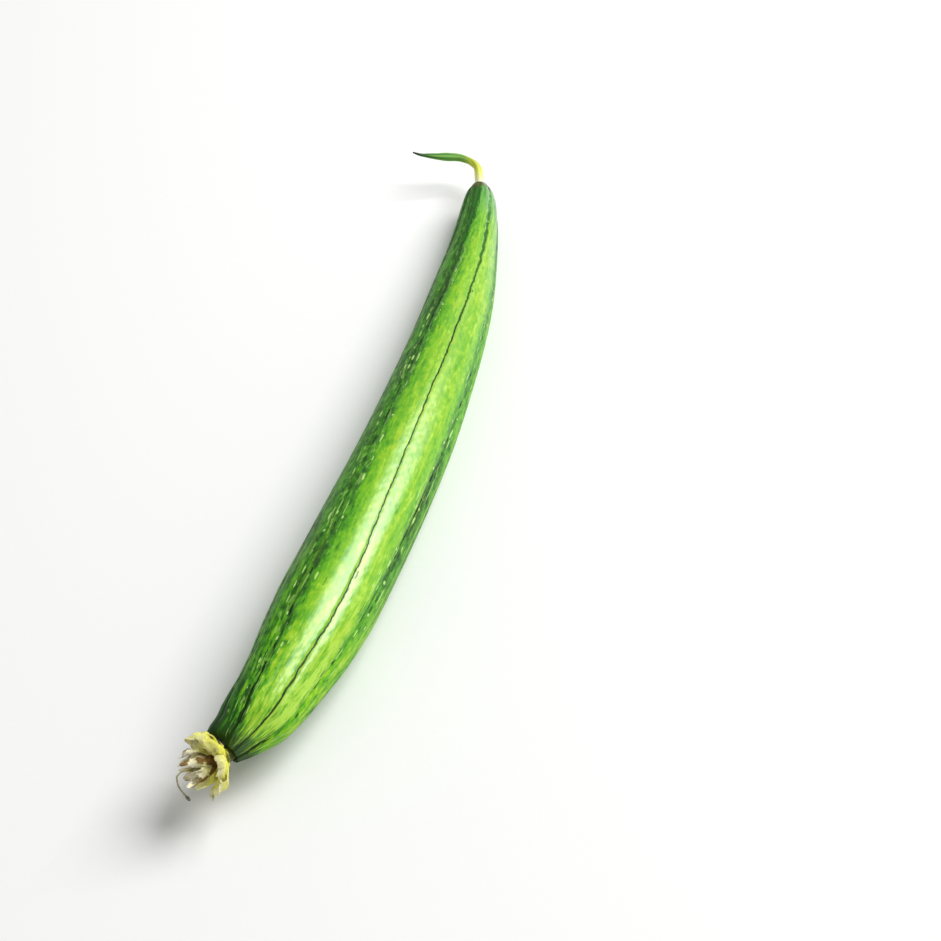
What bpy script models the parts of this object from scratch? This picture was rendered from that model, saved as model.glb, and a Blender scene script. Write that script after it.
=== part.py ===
"""A smooth sponge gourd, picked and lying on its side, with its hooked stem and its withered blossom.

World frame, in metres: +Z up, the floor at z = 0, the stem end towards +Y, the blossom end towards -Y.
The fruit bows towards +X. The origin is the middle of the small flat spot that the fruit rests on.
"""

import math

import bmesh
import bpy
import numpy as np

MM = 0.001

# Fruit: a bowed body of round sections, thickest towards the blossom end

FRUIT_LENGTH = 376 * MM
FRUIT_BOW = 16.3 * MM
BOW_SKEW = -0.36
FRUIT_SWAY = 0.36 * MM
SWAY_CREST = 0.125
SWAY_WAVE = 0.763
END_HOOK = 0.75 * MM
HOOK_REACH = 0.12
TIP_HOOK = 3.4 * MM
TIP_REACH = 0.05
REST_STATION = 0.545
AXIS_HEIGHT = 19.7 * MM
AXIS_RISE = 7.3 * MM
FRUIT_RINGS = 58
EVEN_SHARE = 0.45
FRUIT_PROFILE = (
    (0.000, 4.8 * MM),
    (0.020, 8.0 * MM),
    (0.070, 10.8 * MM),
    (0.150, 13.3 * MM),
    (0.260, 16.7 * MM),
    (0.400, 19.1 * MM),
    (0.550, 20.8 * MM),
    (0.700, 21.3 * MM),
    (0.780, 21.3 * MM),
    (0.840, 20.0 * MM),
    (0.900, 17.0 * MM),
    (0.950, 13.6 * MM),
    (0.985, 7.6 * MM),
    (1.000, 4.8 * MM),
)

# Shoulder: the fruit swells on its -X side round the blossom's socket, and rolls over past it

SHOULDER_ANGLE = -84
SHOULDER_SPREAD = 55
SHOULDER_SIZE = 7.0 * MM
SHOULDER_ROLL = 6.0 * MM
SHOULDER_STATIONS = ((0.0, 0.0), (0.88, 0.0), (0.92, 0.10), (0.95, 0.40), (0.97, 0.76), (0.985, 1.0))
SHOULDER_END = 0.985

# Furrows: angles round the fruit from straight up towards +X, at mid-length

FURROW_ANGLES = (19, 69, 112, 157, 205, 250, 293, 336)
FURROW_TWIST = 24
TWIST_REACH = 0.52
FURROW_DRIFT = (13, 1, 4, 8, 8, 8, 8, 8)
DRIFT_SPAN = (0.55, 0.88)
FURROW_WANDER = 1.0
WANDER_WAVES = 1.3
WANDER_SPREAD = 97
FURROW_DEPTH = 0.45 * MM
FURROW_END_DEPTH = 0.55 * MM
FURROW_END_REACH = 0.12
FURROW_TIP_FADE = 0.02
FURROW_CREASE = 1.3 * MM
FURROW_DISH = 4.0 * MM
CREASE_SHARE = 0.6
FURROW_SAMPLES = (-10, -4, 0, 4, 10)

# Sockets in the two ends of the fruit, and the clearance of what stands in them

SOCKET_DEPTH = 1.5 * MM
STEM_SOCKET = 3.1 * MM
CALYX_SOCKET = 3.5 * MM
GAP = 0.3 * MM

# Stem: offsets from the fruit's stem end, width, thickness and roll, to its dried flat point

STEM_PATH = (
    (0.0, -1.2, 0.0, 5.2, 5.2, 0),
    (0.0, 3.0, 0.0, 5.2, 5.2, 0),
    (-0.1, 7.0, 0.1, 5.1, 5.1, 0),
    (-0.3, 12.5, 0.3, 4.9, 4.9, 0),
    (-0.8, 17.2, 0.6, 4.4, 4.4, 0),
    (-2.6, 21.3, 1.0, 4.1, 4.1, -8),
    (-6.0, 24.1, 1.7, 3.9, 3.9, -20),
    (-11.3, 25.2, 2.8, 4.3, 3.1, -38),
    (-17.8, 24.3, 3.9, 4.7, 2.5, -45),
    (-25.0, 23.4, 5.0, 3.3, 2.0, -48),
    (-31.5, 23.4, 5.8, 1.8, 1.3, -50),
    (-36.8, 25.1, 6.4, 0.7, 0.7, -50),
)
STEM_RINGS = 30
STEM_SIDES = 15
STEM_RIDGES = 5
STEM_RIDGE_SHARE = 0.055

# Blossom: its axis turns away from the fruit's end, towards -X and a little upwards

BLOSSOM_HEADING = 44
BLOSSOM_RISE = 14
NECK_REACH = 1.1 * MM
CUP_REACH = 2.8 * MM
CALYX_SIDES = 20
CUP_OUTER = ((0.0, 2.8), (0.34, 2.8), (0.58, 2.9), (0.72, 3.3), (0.88, 3.9), (1.0, 4.2))
CUP_INNER = ((1.0, 3.5), (0.92, 3.4), (0.84, 3.2), (0.76, 3.0))

BLADE_ROWS = 11
BLADE_COLUMNS = 9
BLADE_THICKNESS = 0.7 * MM
LEAST_OUT = 1.6 * MM
WIDTH_SPAN = (0.10, 0.92)
EDGE_WAVES = 4.2
CRUMPLE_ALONG = 14.5
CRUMPLE_ACROSS = 3.4
CRUMPLE_SLANT = 5.0
BLADE_TWIST = 0.45

SEPALS = 5
SEPAL = {
    "length": 3.2 * MM, "width": 3.4 * MM, "root": 3.6 * MM, "lift": -1.2 * MM, "turn": (78, 62),
    "curl": 6, "pleat": 0.2 * MM, "pleats": 0.6, "crumple": 0.0, "point": 1.3, "ragged": 0.0,
}

PETALS = 5
OUTER_PETAL = {
    "length": 15.0 * MM, "width": 15.0 * MM, "root": 2.1 * MM, "lift": 1.6 * MM, "turn": (108, -6),
    "curl": 12, "pleat": 1.1 * MM, "pleats": 1.4, "crumple": 0.8 * MM, "point": 0.30, "ragged": 0.14,
}
INNER_PETAL = {
    "length": 15.5 * MM, "width": 9.5 * MM, "root": 2.0 * MM, "lift": 1.6 * MM, "turn": (34, -10),
    "curl": 16, "pleat": 1.2 * MM, "pleats": 1.3, "crumple": 0.7 * MM, "point": 0.32, "ragged": 0.18,
}
TUBE_OUTER = 2.5 * MM
TUBE_INNER = 1.4 * MM
TUBE_SPAN = (-0.7 * MM, 3.0 * MM)

# Dried style: distances along the blossom's axis and upwards, out of its middle and down

STYLE_WIDTH = 0.8 * MM
STYLE_KNOB = 1.7 * MM
KNOB_AT = 0.95
KNOB_REACH = 0.035
STYLE_RINGS = 22
STYLE_PATH = ((-0.4, 0), (8, 0), (15, -0.5), (18.6, -3.5), (18.8, -9.0), (17.6, -15.0), (16.0, -21.0))

SEED = 11


def through_points(stations, values, at):
    """Monotone cubic through the points: slopes are harmonic means of the neighbouring steps."""
    x, y = np.asarray(stations, float), np.asarray(values, float)
    step = np.diff(x)
    rise = np.diff(y) / step
    slope = np.zeros_like(y)
    same = rise[:-1] * rise[1:] > 0
    left, right = 2 * step[1:] + step[:-1], step[1:] + 2 * step[:-1]
    safe = np.where(same, rise[:-1] * rise[1:], 1.0)
    mean = (left + right) * safe / (left * rise[1:] + right * rise[:-1] + (~same))
    slope[1:-1] = np.where(same, mean, 0.0)
    slope[0], slope[-1] = rise[0], rise[-1]
    i = np.clip(np.searchsorted(x, at) - 1, 0, len(step) - 1)
    t = (np.asarray(at, float) - x[i]) / step[i]
    hermite = (1 + 2 * t) * (1 - t) ** 2 * y[i] + t * (1 - t) ** 2 * step[i] * slope[i]
    return hermite + t * t * (3 - 2 * t) * y[i + 1] - t * t * (1 - t) * step[i] * slope[i + 1]


def smooth_path(points, at):
    """Each column of the points through the monotone cubic, with the points evenly spaced from 0 to 1."""
    table = np.asarray(points, float)
    knots = np.linspace(0, 1, len(table))
    return np.stack([through_points(knots, column, at) for column in table.T], axis=-1)


def unit(vectors):
    return vectors / np.linalg.norm(vectors, axis=-1, keepdims=True)


def frames_along(points, reference=(0.0, 0.0, 1.0)):
    """Tangent, sideways and upward directions along a path, upward being nearest to the reference."""
    tangent = unit(np.gradient(points, axis=0))
    side = unit(np.cross(np.asarray(reference, float), tangent))
    return tangent, side, np.cross(tangent, side)


def bow_at(station):
    """How far the centreline stands out: a skewed parabola, a slight sway, and a hook at each end."""
    bow = 4 * FRUIT_BOW * station * (1 - station) * (1 + BOW_SKEW * (station - 0.5))
    sway = FRUIT_SWAY * np.cos(2 * math.pi * (station - SWAY_CREST) / SWAY_WAVE)
    turned = TIP_HOOK * np.clip(1 - (1 - station) / TIP_REACH, 0, None) ** 2
    return bow + sway - END_HOOK * np.clip(1 - station / HOOK_REACH, 0, None) ** 3 - turned


def fruit_axis(station):
    """The centreline: bowed in plan, and a straight line with a slight rise seen from the side."""
    s = np.asarray(station, float)
    bow = bow_at(s) - bow_at(REST_STATION)
    along = (REST_STATION - s) * FRUIT_LENGTH
    height = AXIS_HEIGHT + AXIS_RISE * (s - REST_STATION)
    return np.stack([bow, along, height], axis=-1)


def furrow_angles_at(station):
    """The furrows' angles in degrees: turned towards +X near both ends, and wandering a little."""
    s = np.asarray(station, float)[:, None]
    base = np.asarray(FURROW_ANGLES, float)[None, :]
    twist = FURROW_TWIST * np.clip(1 - s / TWIST_REACH, 0, None) ** 2
    begin, end = DRIFT_SPAN
    t = np.clip((s - begin) / (end - begin), 0, 1)
    drift = np.asarray(FURROW_DRIFT, float)[None, :] * t * t * (3 - 2 * t)
    wander = FURROW_WANDER * np.sin(2 * math.pi * (WANDER_WAVES * s + base / WANDER_SPREAD))
    return base + twist + drift + wander


def furrow_depth(station):
    """Depth along the fruit: deeper near both ends, and gone at the very tips."""
    s = np.asarray(station, float)
    ends = np.exp(-((s / FURROW_END_REACH) ** 2)) + np.exp(-(((1 - s) / FURROW_END_REACH) ** 2))
    fade = np.clip(s / FURROW_TIP_FADE, 0, 1) * np.clip((1 - s) / FURROW_TIP_FADE, 0, 1)
    return (FURROW_DEPTH + FURROW_END_DEPTH * ends) * fade


def shoulder_at(station, angle):
    """Swelling and roll beyond the socket, both a bell curve round the fruit.

    The swelling grows along the stations of its table. Past the last one it goes down as a cosine to
    nothing at the tip, while the roll pushes the skin forwards by a half sine times that cosine.
    """
    past = np.clip((station - SHOULDER_END) / (1 - SHOULDER_END), 0, 1)
    grown = through_points(*zip(*SHOULDER_STATIONS), np.minimum(station, SHOULDER_END))
    away = np.angle(np.exp(1j * (angle - math.radians(SHOULDER_ANGLE))))
    around = np.exp(-((away / math.radians(SHOULDER_SPREAD)) ** 2))
    swelling = SHOULDER_SIZE * (grown * np.cos(math.pi / 2 * past))[:, None] * around
    rolled = np.sin(math.pi * past) * np.cos(math.pi / 2 * past)
    roll = SHOULDER_ROLL * rolled[:, None] * around
    return swelling, roll


def fruit_rings():
    """Rings of points along the fruit, closer at its ends, with points in, beside and between furrows."""
    even = np.linspace(0, 1, FRUIT_RINGS)
    station = EVEN_SHARE * even + (1 - EVEN_SHARE) * 0.5 * (1 - np.cos(math.pi * even))
    radius = through_points(*zip(*FRUIT_PROFILE), station)
    furrows = furrow_angles_at(station)
    following = np.roll(furrows, -1, axis=1)
    following[:, -1] += 360
    crests = (furrows + following) / 2
    columns = []
    for k in range(len(FURROW_ANGLES)):
        columns += [furrows[:, k] + offset for offset in FURROW_SAMPLES]
        columns.append(crests[:, k])
    angle = np.radians(np.stack(columns, axis=1))
    away = np.angle(np.exp(1j * (angle[:, :, None] - np.radians(furrows)[:, None, :])))
    reach = np.abs(away).min(axis=2) * radius[:, None]
    crease = np.exp(-((reach / FURROW_CREASE) ** 2))
    dish = np.exp(-((reach / FURROW_DISH) ** 2))
    groove = CREASE_SHARE * crease + (1 - CREASE_SHARE) * dish
    swelling, roll = shoulder_at(station, angle)
    ring_radius = radius[:, None] - furrow_depth(station)[:, None] * groove + swelling
    centre = fruit_axis(station)
    tangent, side, up = frames_along(centre)
    outward = np.cos(angle)[..., None] * up[:, None] + np.sin(angle)[..., None] * side[:, None]
    rings = centre[:, None] + ring_radius[..., None] * outward + roll[..., None] * tangent[:, None]
    inward, outward = tangent[0] * SOCKET_DEPTH, tangent[-1] * SOCKET_DEPTH
    socket_in = [ring_of(rings[0], STEM_SOCKET, inward), ring_of(rings[0], STEM_SOCKET, 0.0)]
    socket_out = [ring_of(rings[-1], CALYX_SOCKET, 0.0), ring_of(rings[-1], CALYX_SOCKET, -outward)]
    return socket_in + list(rings) + socket_out


def ring_of(ring, radius, shift):
    """The ring drawn in to a circle of the radius, and moved."""
    centre = (ring.max(axis=0) + ring.min(axis=0)) / 2
    return centre + radius * unit(ring - centre) + shift


def mesh_object(name, bm):
    """The bmesh as an object, with its faces turned outwards."""
    bmesh.ops.recalc_face_normals(bm, faces=bm.faces)
    mesh = bpy.data.meshes.new(name)
    bm.to_mesh(mesh)
    bm.free()
    obj = bpy.data.objects.new(name, mesh)
    bpy.context.scene.collection.objects.link(obj)
    return obj


def lofted(rings):
    """A closed bmesh body: each ring joined to the next by quads, and the two end rings capped."""
    bm = bmesh.new()
    loops = [[bm.verts.new(point) for point in ring] for ring in rings]
    for first, second in zip(loops, loops[1:]):
        for a, b, c, d in zip(first, first[1:] + first[:1], second[1:] + second[:1], second):
            bm.faces.new((a, b, c, d))
    bm.faces.new(loops[0])
    bm.faces.new(loops[-1])
    return bm


def blade(name, grid):
    """A thin leaf-like piece from a grid of points, cut into triangles before it gets its thickness."""
    bm = bmesh.new()
    verts = [[bm.verts.new(point) for point in row] for row in grid]
    for first, second in zip(verts, verts[1:]):
        for k in range(len(first) - 1):
            bm.faces.new((first[k], first[k + 1], second[k + 1]))
            bm.faces.new((first[k], second[k + 1], second[k]))
    mesh = bpy.data.meshes.new(name)
    bm.to_mesh(mesh)
    bm.free()
    obj = bpy.data.objects.new(name, mesh)
    bpy.context.scene.collection.objects.link(obj)
    wall = obj.modifiers.new("Thickness", "SOLIDIFY")
    wall.thickness = BLADE_THICKNESS
    wall.offset = 0
    return obj


def keep_largest_shell(mesh):
    """Drops the loose scraps and the sealed hollows of a fused mesh, so that one closed skin stays.

    A shell is walked across the edges that join just two faces, so that a hollow that touches the
    outside along an edge is still a shell of its own.
    """
    bm = bmesh.new()
    bm.from_mesh(mesh)
    shells, seen = [], set()
    for start in bm.faces:
        if start in seen:
            continue
        shell, border = {start}, [start]
        while border:
            for edge in border.pop().edges:
                for face in edge.link_faces if len(edge.link_faces) == 2 else ():
                    if face not in shell:
                        shell.add(face)
                        border.append(face)
        seen |= shell
        shells.append(shell)
    largest = max(shells, key=len)
    bmesh.ops.delete(bm, geom=[f for f in bm.faces if f not in largest], context="FACES")
    bm.to_mesh(mesh)
    bm.free()


def fuse(name, parts):
    """Joins the parts into one closed body by one union on their collection, and removes them."""
    group = bpy.data.collections.new(name + "_parts")
    bpy.context.scene.collection.children.link(group)
    body, *others = parts
    for part in others:
        bpy.context.scene.collection.objects.unlink(part)
        group.objects.link(part)
    join = body.modifiers.new("Join", "BOOLEAN")
    join.operation = "UNION"
    join.operand_type = "COLLECTION"
    join.collection = group
    join.solver = "MANIFOLD"
    graph = bpy.context.evaluated_depsgraph_get()
    mesh = bpy.data.meshes.new_from_object(body.evaluated_get(graph))
    body.modifiers.clear()
    keep_largest_shell(mesh)
    body.data = mesh
    body.name = name
    for part in others:
        bpy.data.objects.remove(part)
    bpy.data.collections.remove(group)
    return body


def finish_piece(obj, colour, roughness, sharp_degrees):
    """One material and smooth shading with sharp edges kept."""
    material = bpy.data.materials.new(obj.name)
    material.use_nodes = True
    shader = material.node_tree.nodes["Principled BSDF"]
    shader.inputs["Base Color"].default_value = (*colour, 1.0)
    shader.inputs["Roughness"].default_value = roughness
    shader.inputs["Metallic"].default_value = 0.0
    obj.data.materials.clear()
    obj.data.materials.append(material)
    obj.data.shade_smooth()
    obj.data.set_sharp_from_angle(angle=math.radians(sharp_degrees))


def make_fruit():
    """The body, cut level by the floor along its underside to give the flat spot it rests on."""
    bm = lofted(fruit_rings())
    everything = bm.verts[:] + bm.edges[:] + bm.faces[:]
    cut = bmesh.ops.bisect_plane(
        bm, geom=everything, dist=1e-7, plane_co=(0, 0, 0), plane_no=(0, 0, -1), clear_outer=True
    )
    rim = [item for item in cut["geom_cut"] if isinstance(item, bmesh.types.BMEdge)]
    bmesh.ops.contextual_create(bm, geom=rim)
    fruit = mesh_object("fruit", bm)
    finish_piece(fruit, (0.22, 0.50, 0.06), 0.32, 40)


def make_stem():
    """A five-ridged stalk that hooks over to -X and flattens into a dried point."""
    share = np.linspace(0, 1, STEM_RINGS)
    path = smooth_path(STEM_PATH, share)
    near_end = fruit_axis(np.array([0.0, 0.001]))
    away = unit(near_end[0] - near_end[1])
    sideways = unit(np.cross(away, np.array([0.0, 0.0, 1.0])))
    end_frame = np.stack([sideways, away, np.cross(sideways, away)])
    centre = near_end[0] + path[:, :3] @ end_frame * MM
    tangent, side, up = frames_along(centre)
    roll = np.radians(path[:, 5])[:, None]
    wide = np.cos(roll) * up + np.sin(roll) * side
    thin = np.cross(tangent, wide)
    angle = np.linspace(0, 2 * math.pi, STEM_SIDES, endpoint=False)
    ridge = 1 + STEM_RIDGE_SHARE * np.cos(STEM_RIDGES * angle)
    across = (path[:, 3, None] / 2 * MM) * np.cos(angle) * ridge
    through = (path[:, 4, None] / 2 * MM) * np.sin(angle) * ridge
    rings = centre[:, None] + across[..., None] * wide[:, None] + through[..., None] * thin[:, None]
    stem = mesh_object("stem", lofted(list(rings)))
    finish_piece(stem, (0.45, 0.58, 0.12), 0.55, 40)


def blossom_axis():
    heading, rise = math.radians(BLOSSOM_HEADING), math.radians(BLOSSOM_RISE)
    level = math.cos(rise)
    return np.array([-math.sin(heading) * level, -math.cos(heading) * level, math.sin(rise)])


def neck_curve(share):
    """Quadratic curve from inside the fruit's blossom end to the rim of the calyx cup."""
    tip = fruit_axis(np.array([1.0]))[0]
    along = unit(fruit_axis(np.array([1.0]))[0] - fruit_axis(np.array([0.99]))[0])
    start = tip - along * (SOCKET_DEPTH - GAP)
    corner = tip + along * NECK_REACH
    end = corner + blossom_axis() * CUP_REACH
    t = np.asarray(share, float)[:, None]
    return (1 - t) ** 2 * start + 2 * t * (1 - t) * corner + t * t * end


def blossom_frame():
    """Centre of the calyx rim, the blossom's axis, and two directions square to it."""
    axis = blossom_axis()
    side = unit(np.cross(np.array([0.0, 0.0, 1.0]), axis))
    return neck_curve([1.0])[0], axis, side, np.cross(axis, side)


def blossom_point(along, out, angle):
    """Points given by their distance along the blossom's axis, out from it, and angle round it."""
    centre, axis, side, up = blossom_frame()
    radial = np.cos(angle)[..., None] * up + np.sin(angle)[..., None] * side
    return centre + along[..., None] * axis + out[..., None] * radial


def calyx_cup():
    """A bent cup: rings up its outside along the neck's curve, and down its inside to a floor."""
    share = np.array([t for t, _ in CUP_OUTER] + [t for t, _ in CUP_INNER])
    radius = np.array([r for _, r in CUP_OUTER] + [r for _, r in CUP_INNER]) * MM
    centre = neck_curve(share)
    ahead, behind = neck_curve(share + 0.01), neck_curve(share - 0.01)
    tangent = unit(ahead - behind)
    side = unit(np.cross(np.array([0.0, 0.0, 1.0]), tangent))
    up = np.cross(tangent, side)
    angle = np.linspace(0, 2 * math.pi, CALYX_SIDES, endpoint=False)
    outward = np.cos(angle)[:, None] * up[:, None] + np.sin(angle)[:, None] * side[:, None]
    rings = centre[:, None] + radius[:, None, None] * outward
    return mesh_object("calyx_cup", lofted(list(rings)))


def blade_grid(angle, kind, draws):
    """A crumpled blade of the blossom, as a grid of points with rows from root to edge.

    Seen from the side it leaves the axis at the first turn angle and bends to the second, more or less by
    its own curl. Its half-width follows the sine of pi times the row to a power, with the rows shifted so
    that the root stays wide. Its columns differ in length, which makes the edge ragged. One wave across
    it makes pleats, and a slanting wave makes crumples, both growing towards the edge.
    """
    row = np.linspace(0, 1, BLADE_ROWS)[:, None]
    column = np.linspace(-1, 1, BLADE_COLUMNS)[None, :]
    first, last = kind["turn"]
    lean = np.radians(first + (last - first) * row ** 1.2 + draws[0] * kind["curl"] * row)
    reach = 1 + kind["ragged"] * (np.sin(EDGE_WAVES * column + draws[1]) - column ** 2)
    step = kind["length"] * reach / (BLADE_ROWS - 1)
    out = kind["root"] + np.cumsum(np.sin(lean) * step, axis=0) - np.sin(lean[0]) * step
    along = kind["lift"] + np.cumsum(np.cos(lean) * step, axis=0) - np.cos(lean[0]) * step
    low, high = WIDTH_SPAN
    outline = np.sin(math.pi * (low + (high - low) * row) ** 0.75) ** kind["point"]
    across = column * kind["width"] / 2 * outline / np.maximum(out, 1.5 * LEAST_OUT)
    pleat = kind["pleat"] * row ** 0.8 * np.sin(math.pi * kind["pleats"] * column + draws[2])
    slanting = np.cos(CRUMPLE_ACROSS * column + CRUMPLE_SLANT * row + draws[2])
    crumple = kind["crumple"] * row * np.sin(CRUMPLE_ALONG * row + draws[1]) * slanting
    along = along + (pleat + crumple) * np.sin(lean)
    out = np.maximum(out - (pleat + crumple) * np.cos(lean), LEAST_OUT)
    return blossom_point(along, out, angle + across + BLADE_TWIST * draws[3] * row)


def blade_draws(rng):
    """Bend, edge and pleat phases, and twist of one blade."""
    return rng.uniform((-1.0, 0.0, 0.0, -1.0), (1.0, 6.3, 6.3, 1.0))


def whorl(name, kind, count, turn_share, rng):
    """Blades of one kind at even angles, each a little shorter and turned by its draws."""
    blades = []
    for k in range(count):
        angle = 2 * math.pi * (k + turn_share) / count + rng.uniform(-0.12, 0.12)
        shorter = {**kind, "length": kind["length"] * rng.uniform(0.88, 1.0)}
        blades.append(blade(f"{name}_{k}", blade_grid(angle, shorter, blade_draws(rng))))
    return blades


def make_calyx(rng):
    """The yellow cup with its five pointed sepals, which curl back."""
    calyx = fuse("calyx", [calyx_cup()] + whorl("sepal", SEPAL, SEPALS, 0.5, rng))
    finish_piece(calyx, (0.72, 0.74, 0.16), 0.7, 50)


def corolla_tube():
    """The short tube that carries the petals: a ring with a hole for the style."""
    angle = np.linspace(0, 2 * math.pi, 16, endpoint=False)
    low, high = TUBE_SPAN
    outline = ((low, TUBE_OUTER), (high, TUBE_OUTER), (high, TUBE_INNER), (low, TUBE_INNER))
    bm = bmesh.new()
    loops = []
    for along, out in outline:
        ring = blossom_point(np.full(16, along), np.full(16, out), angle)
        loops.append([bm.verts.new(point) for point in ring])
    for first, second in zip(loops, loops[1:] + loops[:1]):
        for a, b, c, d in zip(first, first[1:] + first[:1], second[1:] + second[:1], second):
            bm.faces.new((a, b, c, d))
    return mesh_object("corolla_tube", bm)


def make_petals(rng):
    """Two whorls of crumpled petals on the corolla's tube, an outer one spread over an inner one."""
    spread = whorl("outer_petal", OUTER_PETAL, PETALS, 0.0, rng)
    upright = whorl("inner_petal", INNER_PETAL, PETALS, 0.5, rng)
    petals = fuse("petals", [corolla_tube()] + spread + upright)
    finish_piece(petals, (0.80, 0.70, 0.45), 0.85, 50)


def make_style():
    """A thin dried stalk from the bottom of the cup, out between the petals and down to a knob."""
    share = np.linspace(0, 1, STYLE_RINGS)
    path = smooth_path(STYLE_PATH, share) * MM
    start, axis, _, _ = blossom_frame()
    centre = start + path[:, :1] * axis + path[:, 1:] * np.array([0.0, 0.0, 1.0])
    tangent, side, up = frames_along(centre, reference=(0.35, 0.9, 0.2))
    knob = np.exp(-(((share - KNOB_AT) / KNOB_REACH) ** 2))
    radius = (STYLE_WIDTH + (STYLE_KNOB - STYLE_WIDTH) * knob) / 2
    angle = np.linspace(0, 2 * math.pi, 8, endpoint=False)
    outward = np.cos(angle)[:, None] * up[:, None] + np.sin(angle)[:, None] * side[:, None]
    rings = centre[:, None] + radius[:, None, None] * outward
    style = mesh_object("style", lofted(list(rings)))
    finish_piece(style, (0.30, 0.27, 0.16), 0.85, 50)


def clear_scene():
    for obj in list(bpy.data.objects):
        bpy.data.objects.remove(obj)


def main():
    clear_scene()
    rng = np.random.default_rng(SEED)
    make_fruit()
    make_stem()
    make_calyx(rng)
    make_petals(rng)
    make_style()


main()
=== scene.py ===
"""The looks of a smooth sponge gourd that lies on its side: skin, hooked stem and withered blossom."""

import math

import bpy
import numpy as np
from mathutils import Matrix, Vector


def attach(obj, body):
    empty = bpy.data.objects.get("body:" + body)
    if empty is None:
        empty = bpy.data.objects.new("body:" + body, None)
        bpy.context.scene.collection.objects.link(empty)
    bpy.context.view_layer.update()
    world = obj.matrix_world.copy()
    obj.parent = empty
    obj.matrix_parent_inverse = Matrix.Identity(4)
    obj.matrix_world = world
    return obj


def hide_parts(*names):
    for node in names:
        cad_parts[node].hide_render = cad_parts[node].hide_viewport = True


bl_info = {
    "name": "Sponge Gourd",
    "version": (1, 0, 0),
    "blender": (4, 5, 0),
    "location": "View3D > Sidebar > Gourd",
    "description": "Grows a smooth sponge gourd with its stem and withered blossom, and lights it",
    "category": "Object",
}

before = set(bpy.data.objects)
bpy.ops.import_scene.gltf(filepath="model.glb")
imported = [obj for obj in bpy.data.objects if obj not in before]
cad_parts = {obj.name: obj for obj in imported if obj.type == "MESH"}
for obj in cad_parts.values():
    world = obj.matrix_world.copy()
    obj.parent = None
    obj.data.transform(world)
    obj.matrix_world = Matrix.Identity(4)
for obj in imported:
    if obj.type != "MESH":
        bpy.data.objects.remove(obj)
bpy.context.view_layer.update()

MM = 0.001
UP = np.array([0.0, 0.0, 1.0])

# Fruit, as in the solid: stations run from the stem end, 0, to the blossom end, 1

FRUIT_LENGTH = 376 * MM
FRUIT_BOW = 16.3 * MM
BOW_SKEW = -0.36
FRUIT_SWAY = 0.36 * MM
SWAY_CREST = 0.125
SWAY_WAVE = 0.763
END_HOOK = 0.75 * MM
HOOK_REACH = 0.12
TIP_HOOK = 3.4 * MM
TIP_REACH = 0.05
REST_STATION = 0.545
AXIS_HEIGHT = 19.7 * MM
AXIS_RISE = 7.3 * MM
FRUIT_PROFILE = (
    (0.000, 4.8), (0.020, 8.0), (0.070, 10.8), (0.150, 13.3), (0.260, 16.7), (0.400, 19.1),
    (0.550, 20.8), (0.700, 21.3), (0.780, 21.3), (0.840, 20.0), (0.900, 17.0), (0.950, 13.6),
    (0.985, 7.6), (1.000, 4.8),
)
SHOULDER_ANGLE = -84
SHOULDER_SPREAD = 55
SHOULDER_SIZE = 7.0 * MM
SHOULDER_ROLL = 6.0 * MM
SHOULDER_STATIONS = ((0.0, 0.0), (0.88, 0.0), (0.92, 0.10), (0.95, 0.40), (0.97, 0.76), (0.985, 1.0))
SHOULDER_END = 0.985
FURROW_ANGLES = (19, 69, 112, 157, 205, 250, 293, 336)
FURROWS = len(FURROW_ANGLES)
FURROW_TWIST = 24
TWIST_REACH = 0.52
FURROW_DRIFT = (13, 1, 4, 8, 8, 8, 8, 8)
DRIFT_SPAN = (0.55, 0.88)
FURROW_WANDER = 1.0
WANDER_WAVES = 1.3
WANDER_SPREAD = 97
FURROW_DEPTH = 0.45 * MM
FURROW_END_DEPTH = 0.55 * MM
FURROW_END_REACH = 0.12
FURROW_TIP_FADE = 0.02
FURROW_CREASE = 0.9 * MM
FURROW_DISH = 4.2 * MM
CREASE_SHARE = 0.6

# Fine skin: rings, columns between two furrows, and what the solid leaves out

SKIN_RINGS = 376
SKIN_COLUMNS = 32
EVEN_SHARE = 0.50
FLOW_RADIUS = 20 * MM
RIDGE_SPAN = (0.85, 0.95)
RIDGE_DEPTH = 0.25 * MM
RIDGE_WIDTH = 0.9 * MM
SWELL = 0.06 * MM
SKIN_INSET = 0.20 * MM
DIMPLES = 0.010 * MM
SWELL_WAVES = ((2, 2.1), (3, 3.3), (5, 2.6), (4, 4.4), (7, 3.7), (9, 1.8))
DIMPLE_WAVES = (
    (11, 37), (-17, 29), (23, 43), (-26, 58), (31, 66), (-37, 79), (41, 71), (19, 91),
)
KINKS = 0.42 * MM
KINK_RUNS = ((14, 1.0), (41, 0.55), (96, 0.30))
KINK_SEED = 17
SWELL_SEED = 11
STEM_LIP = ((4.35, 0.22), (4.0, 0.32), (3.6, 0.26), (3.25, -0.05), (3.05, -0.5), (2.95, -1.3))
CALYX_LIP = ((4.5, 0.16), (4.1, 0.20), (3.8, 0.10), (3.55, -0.2), (3.4, -0.6), (3.3, -1.3))

# Dark line in each furrow: strength at the stations, from unbroken at 1 to gone at 0

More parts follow.
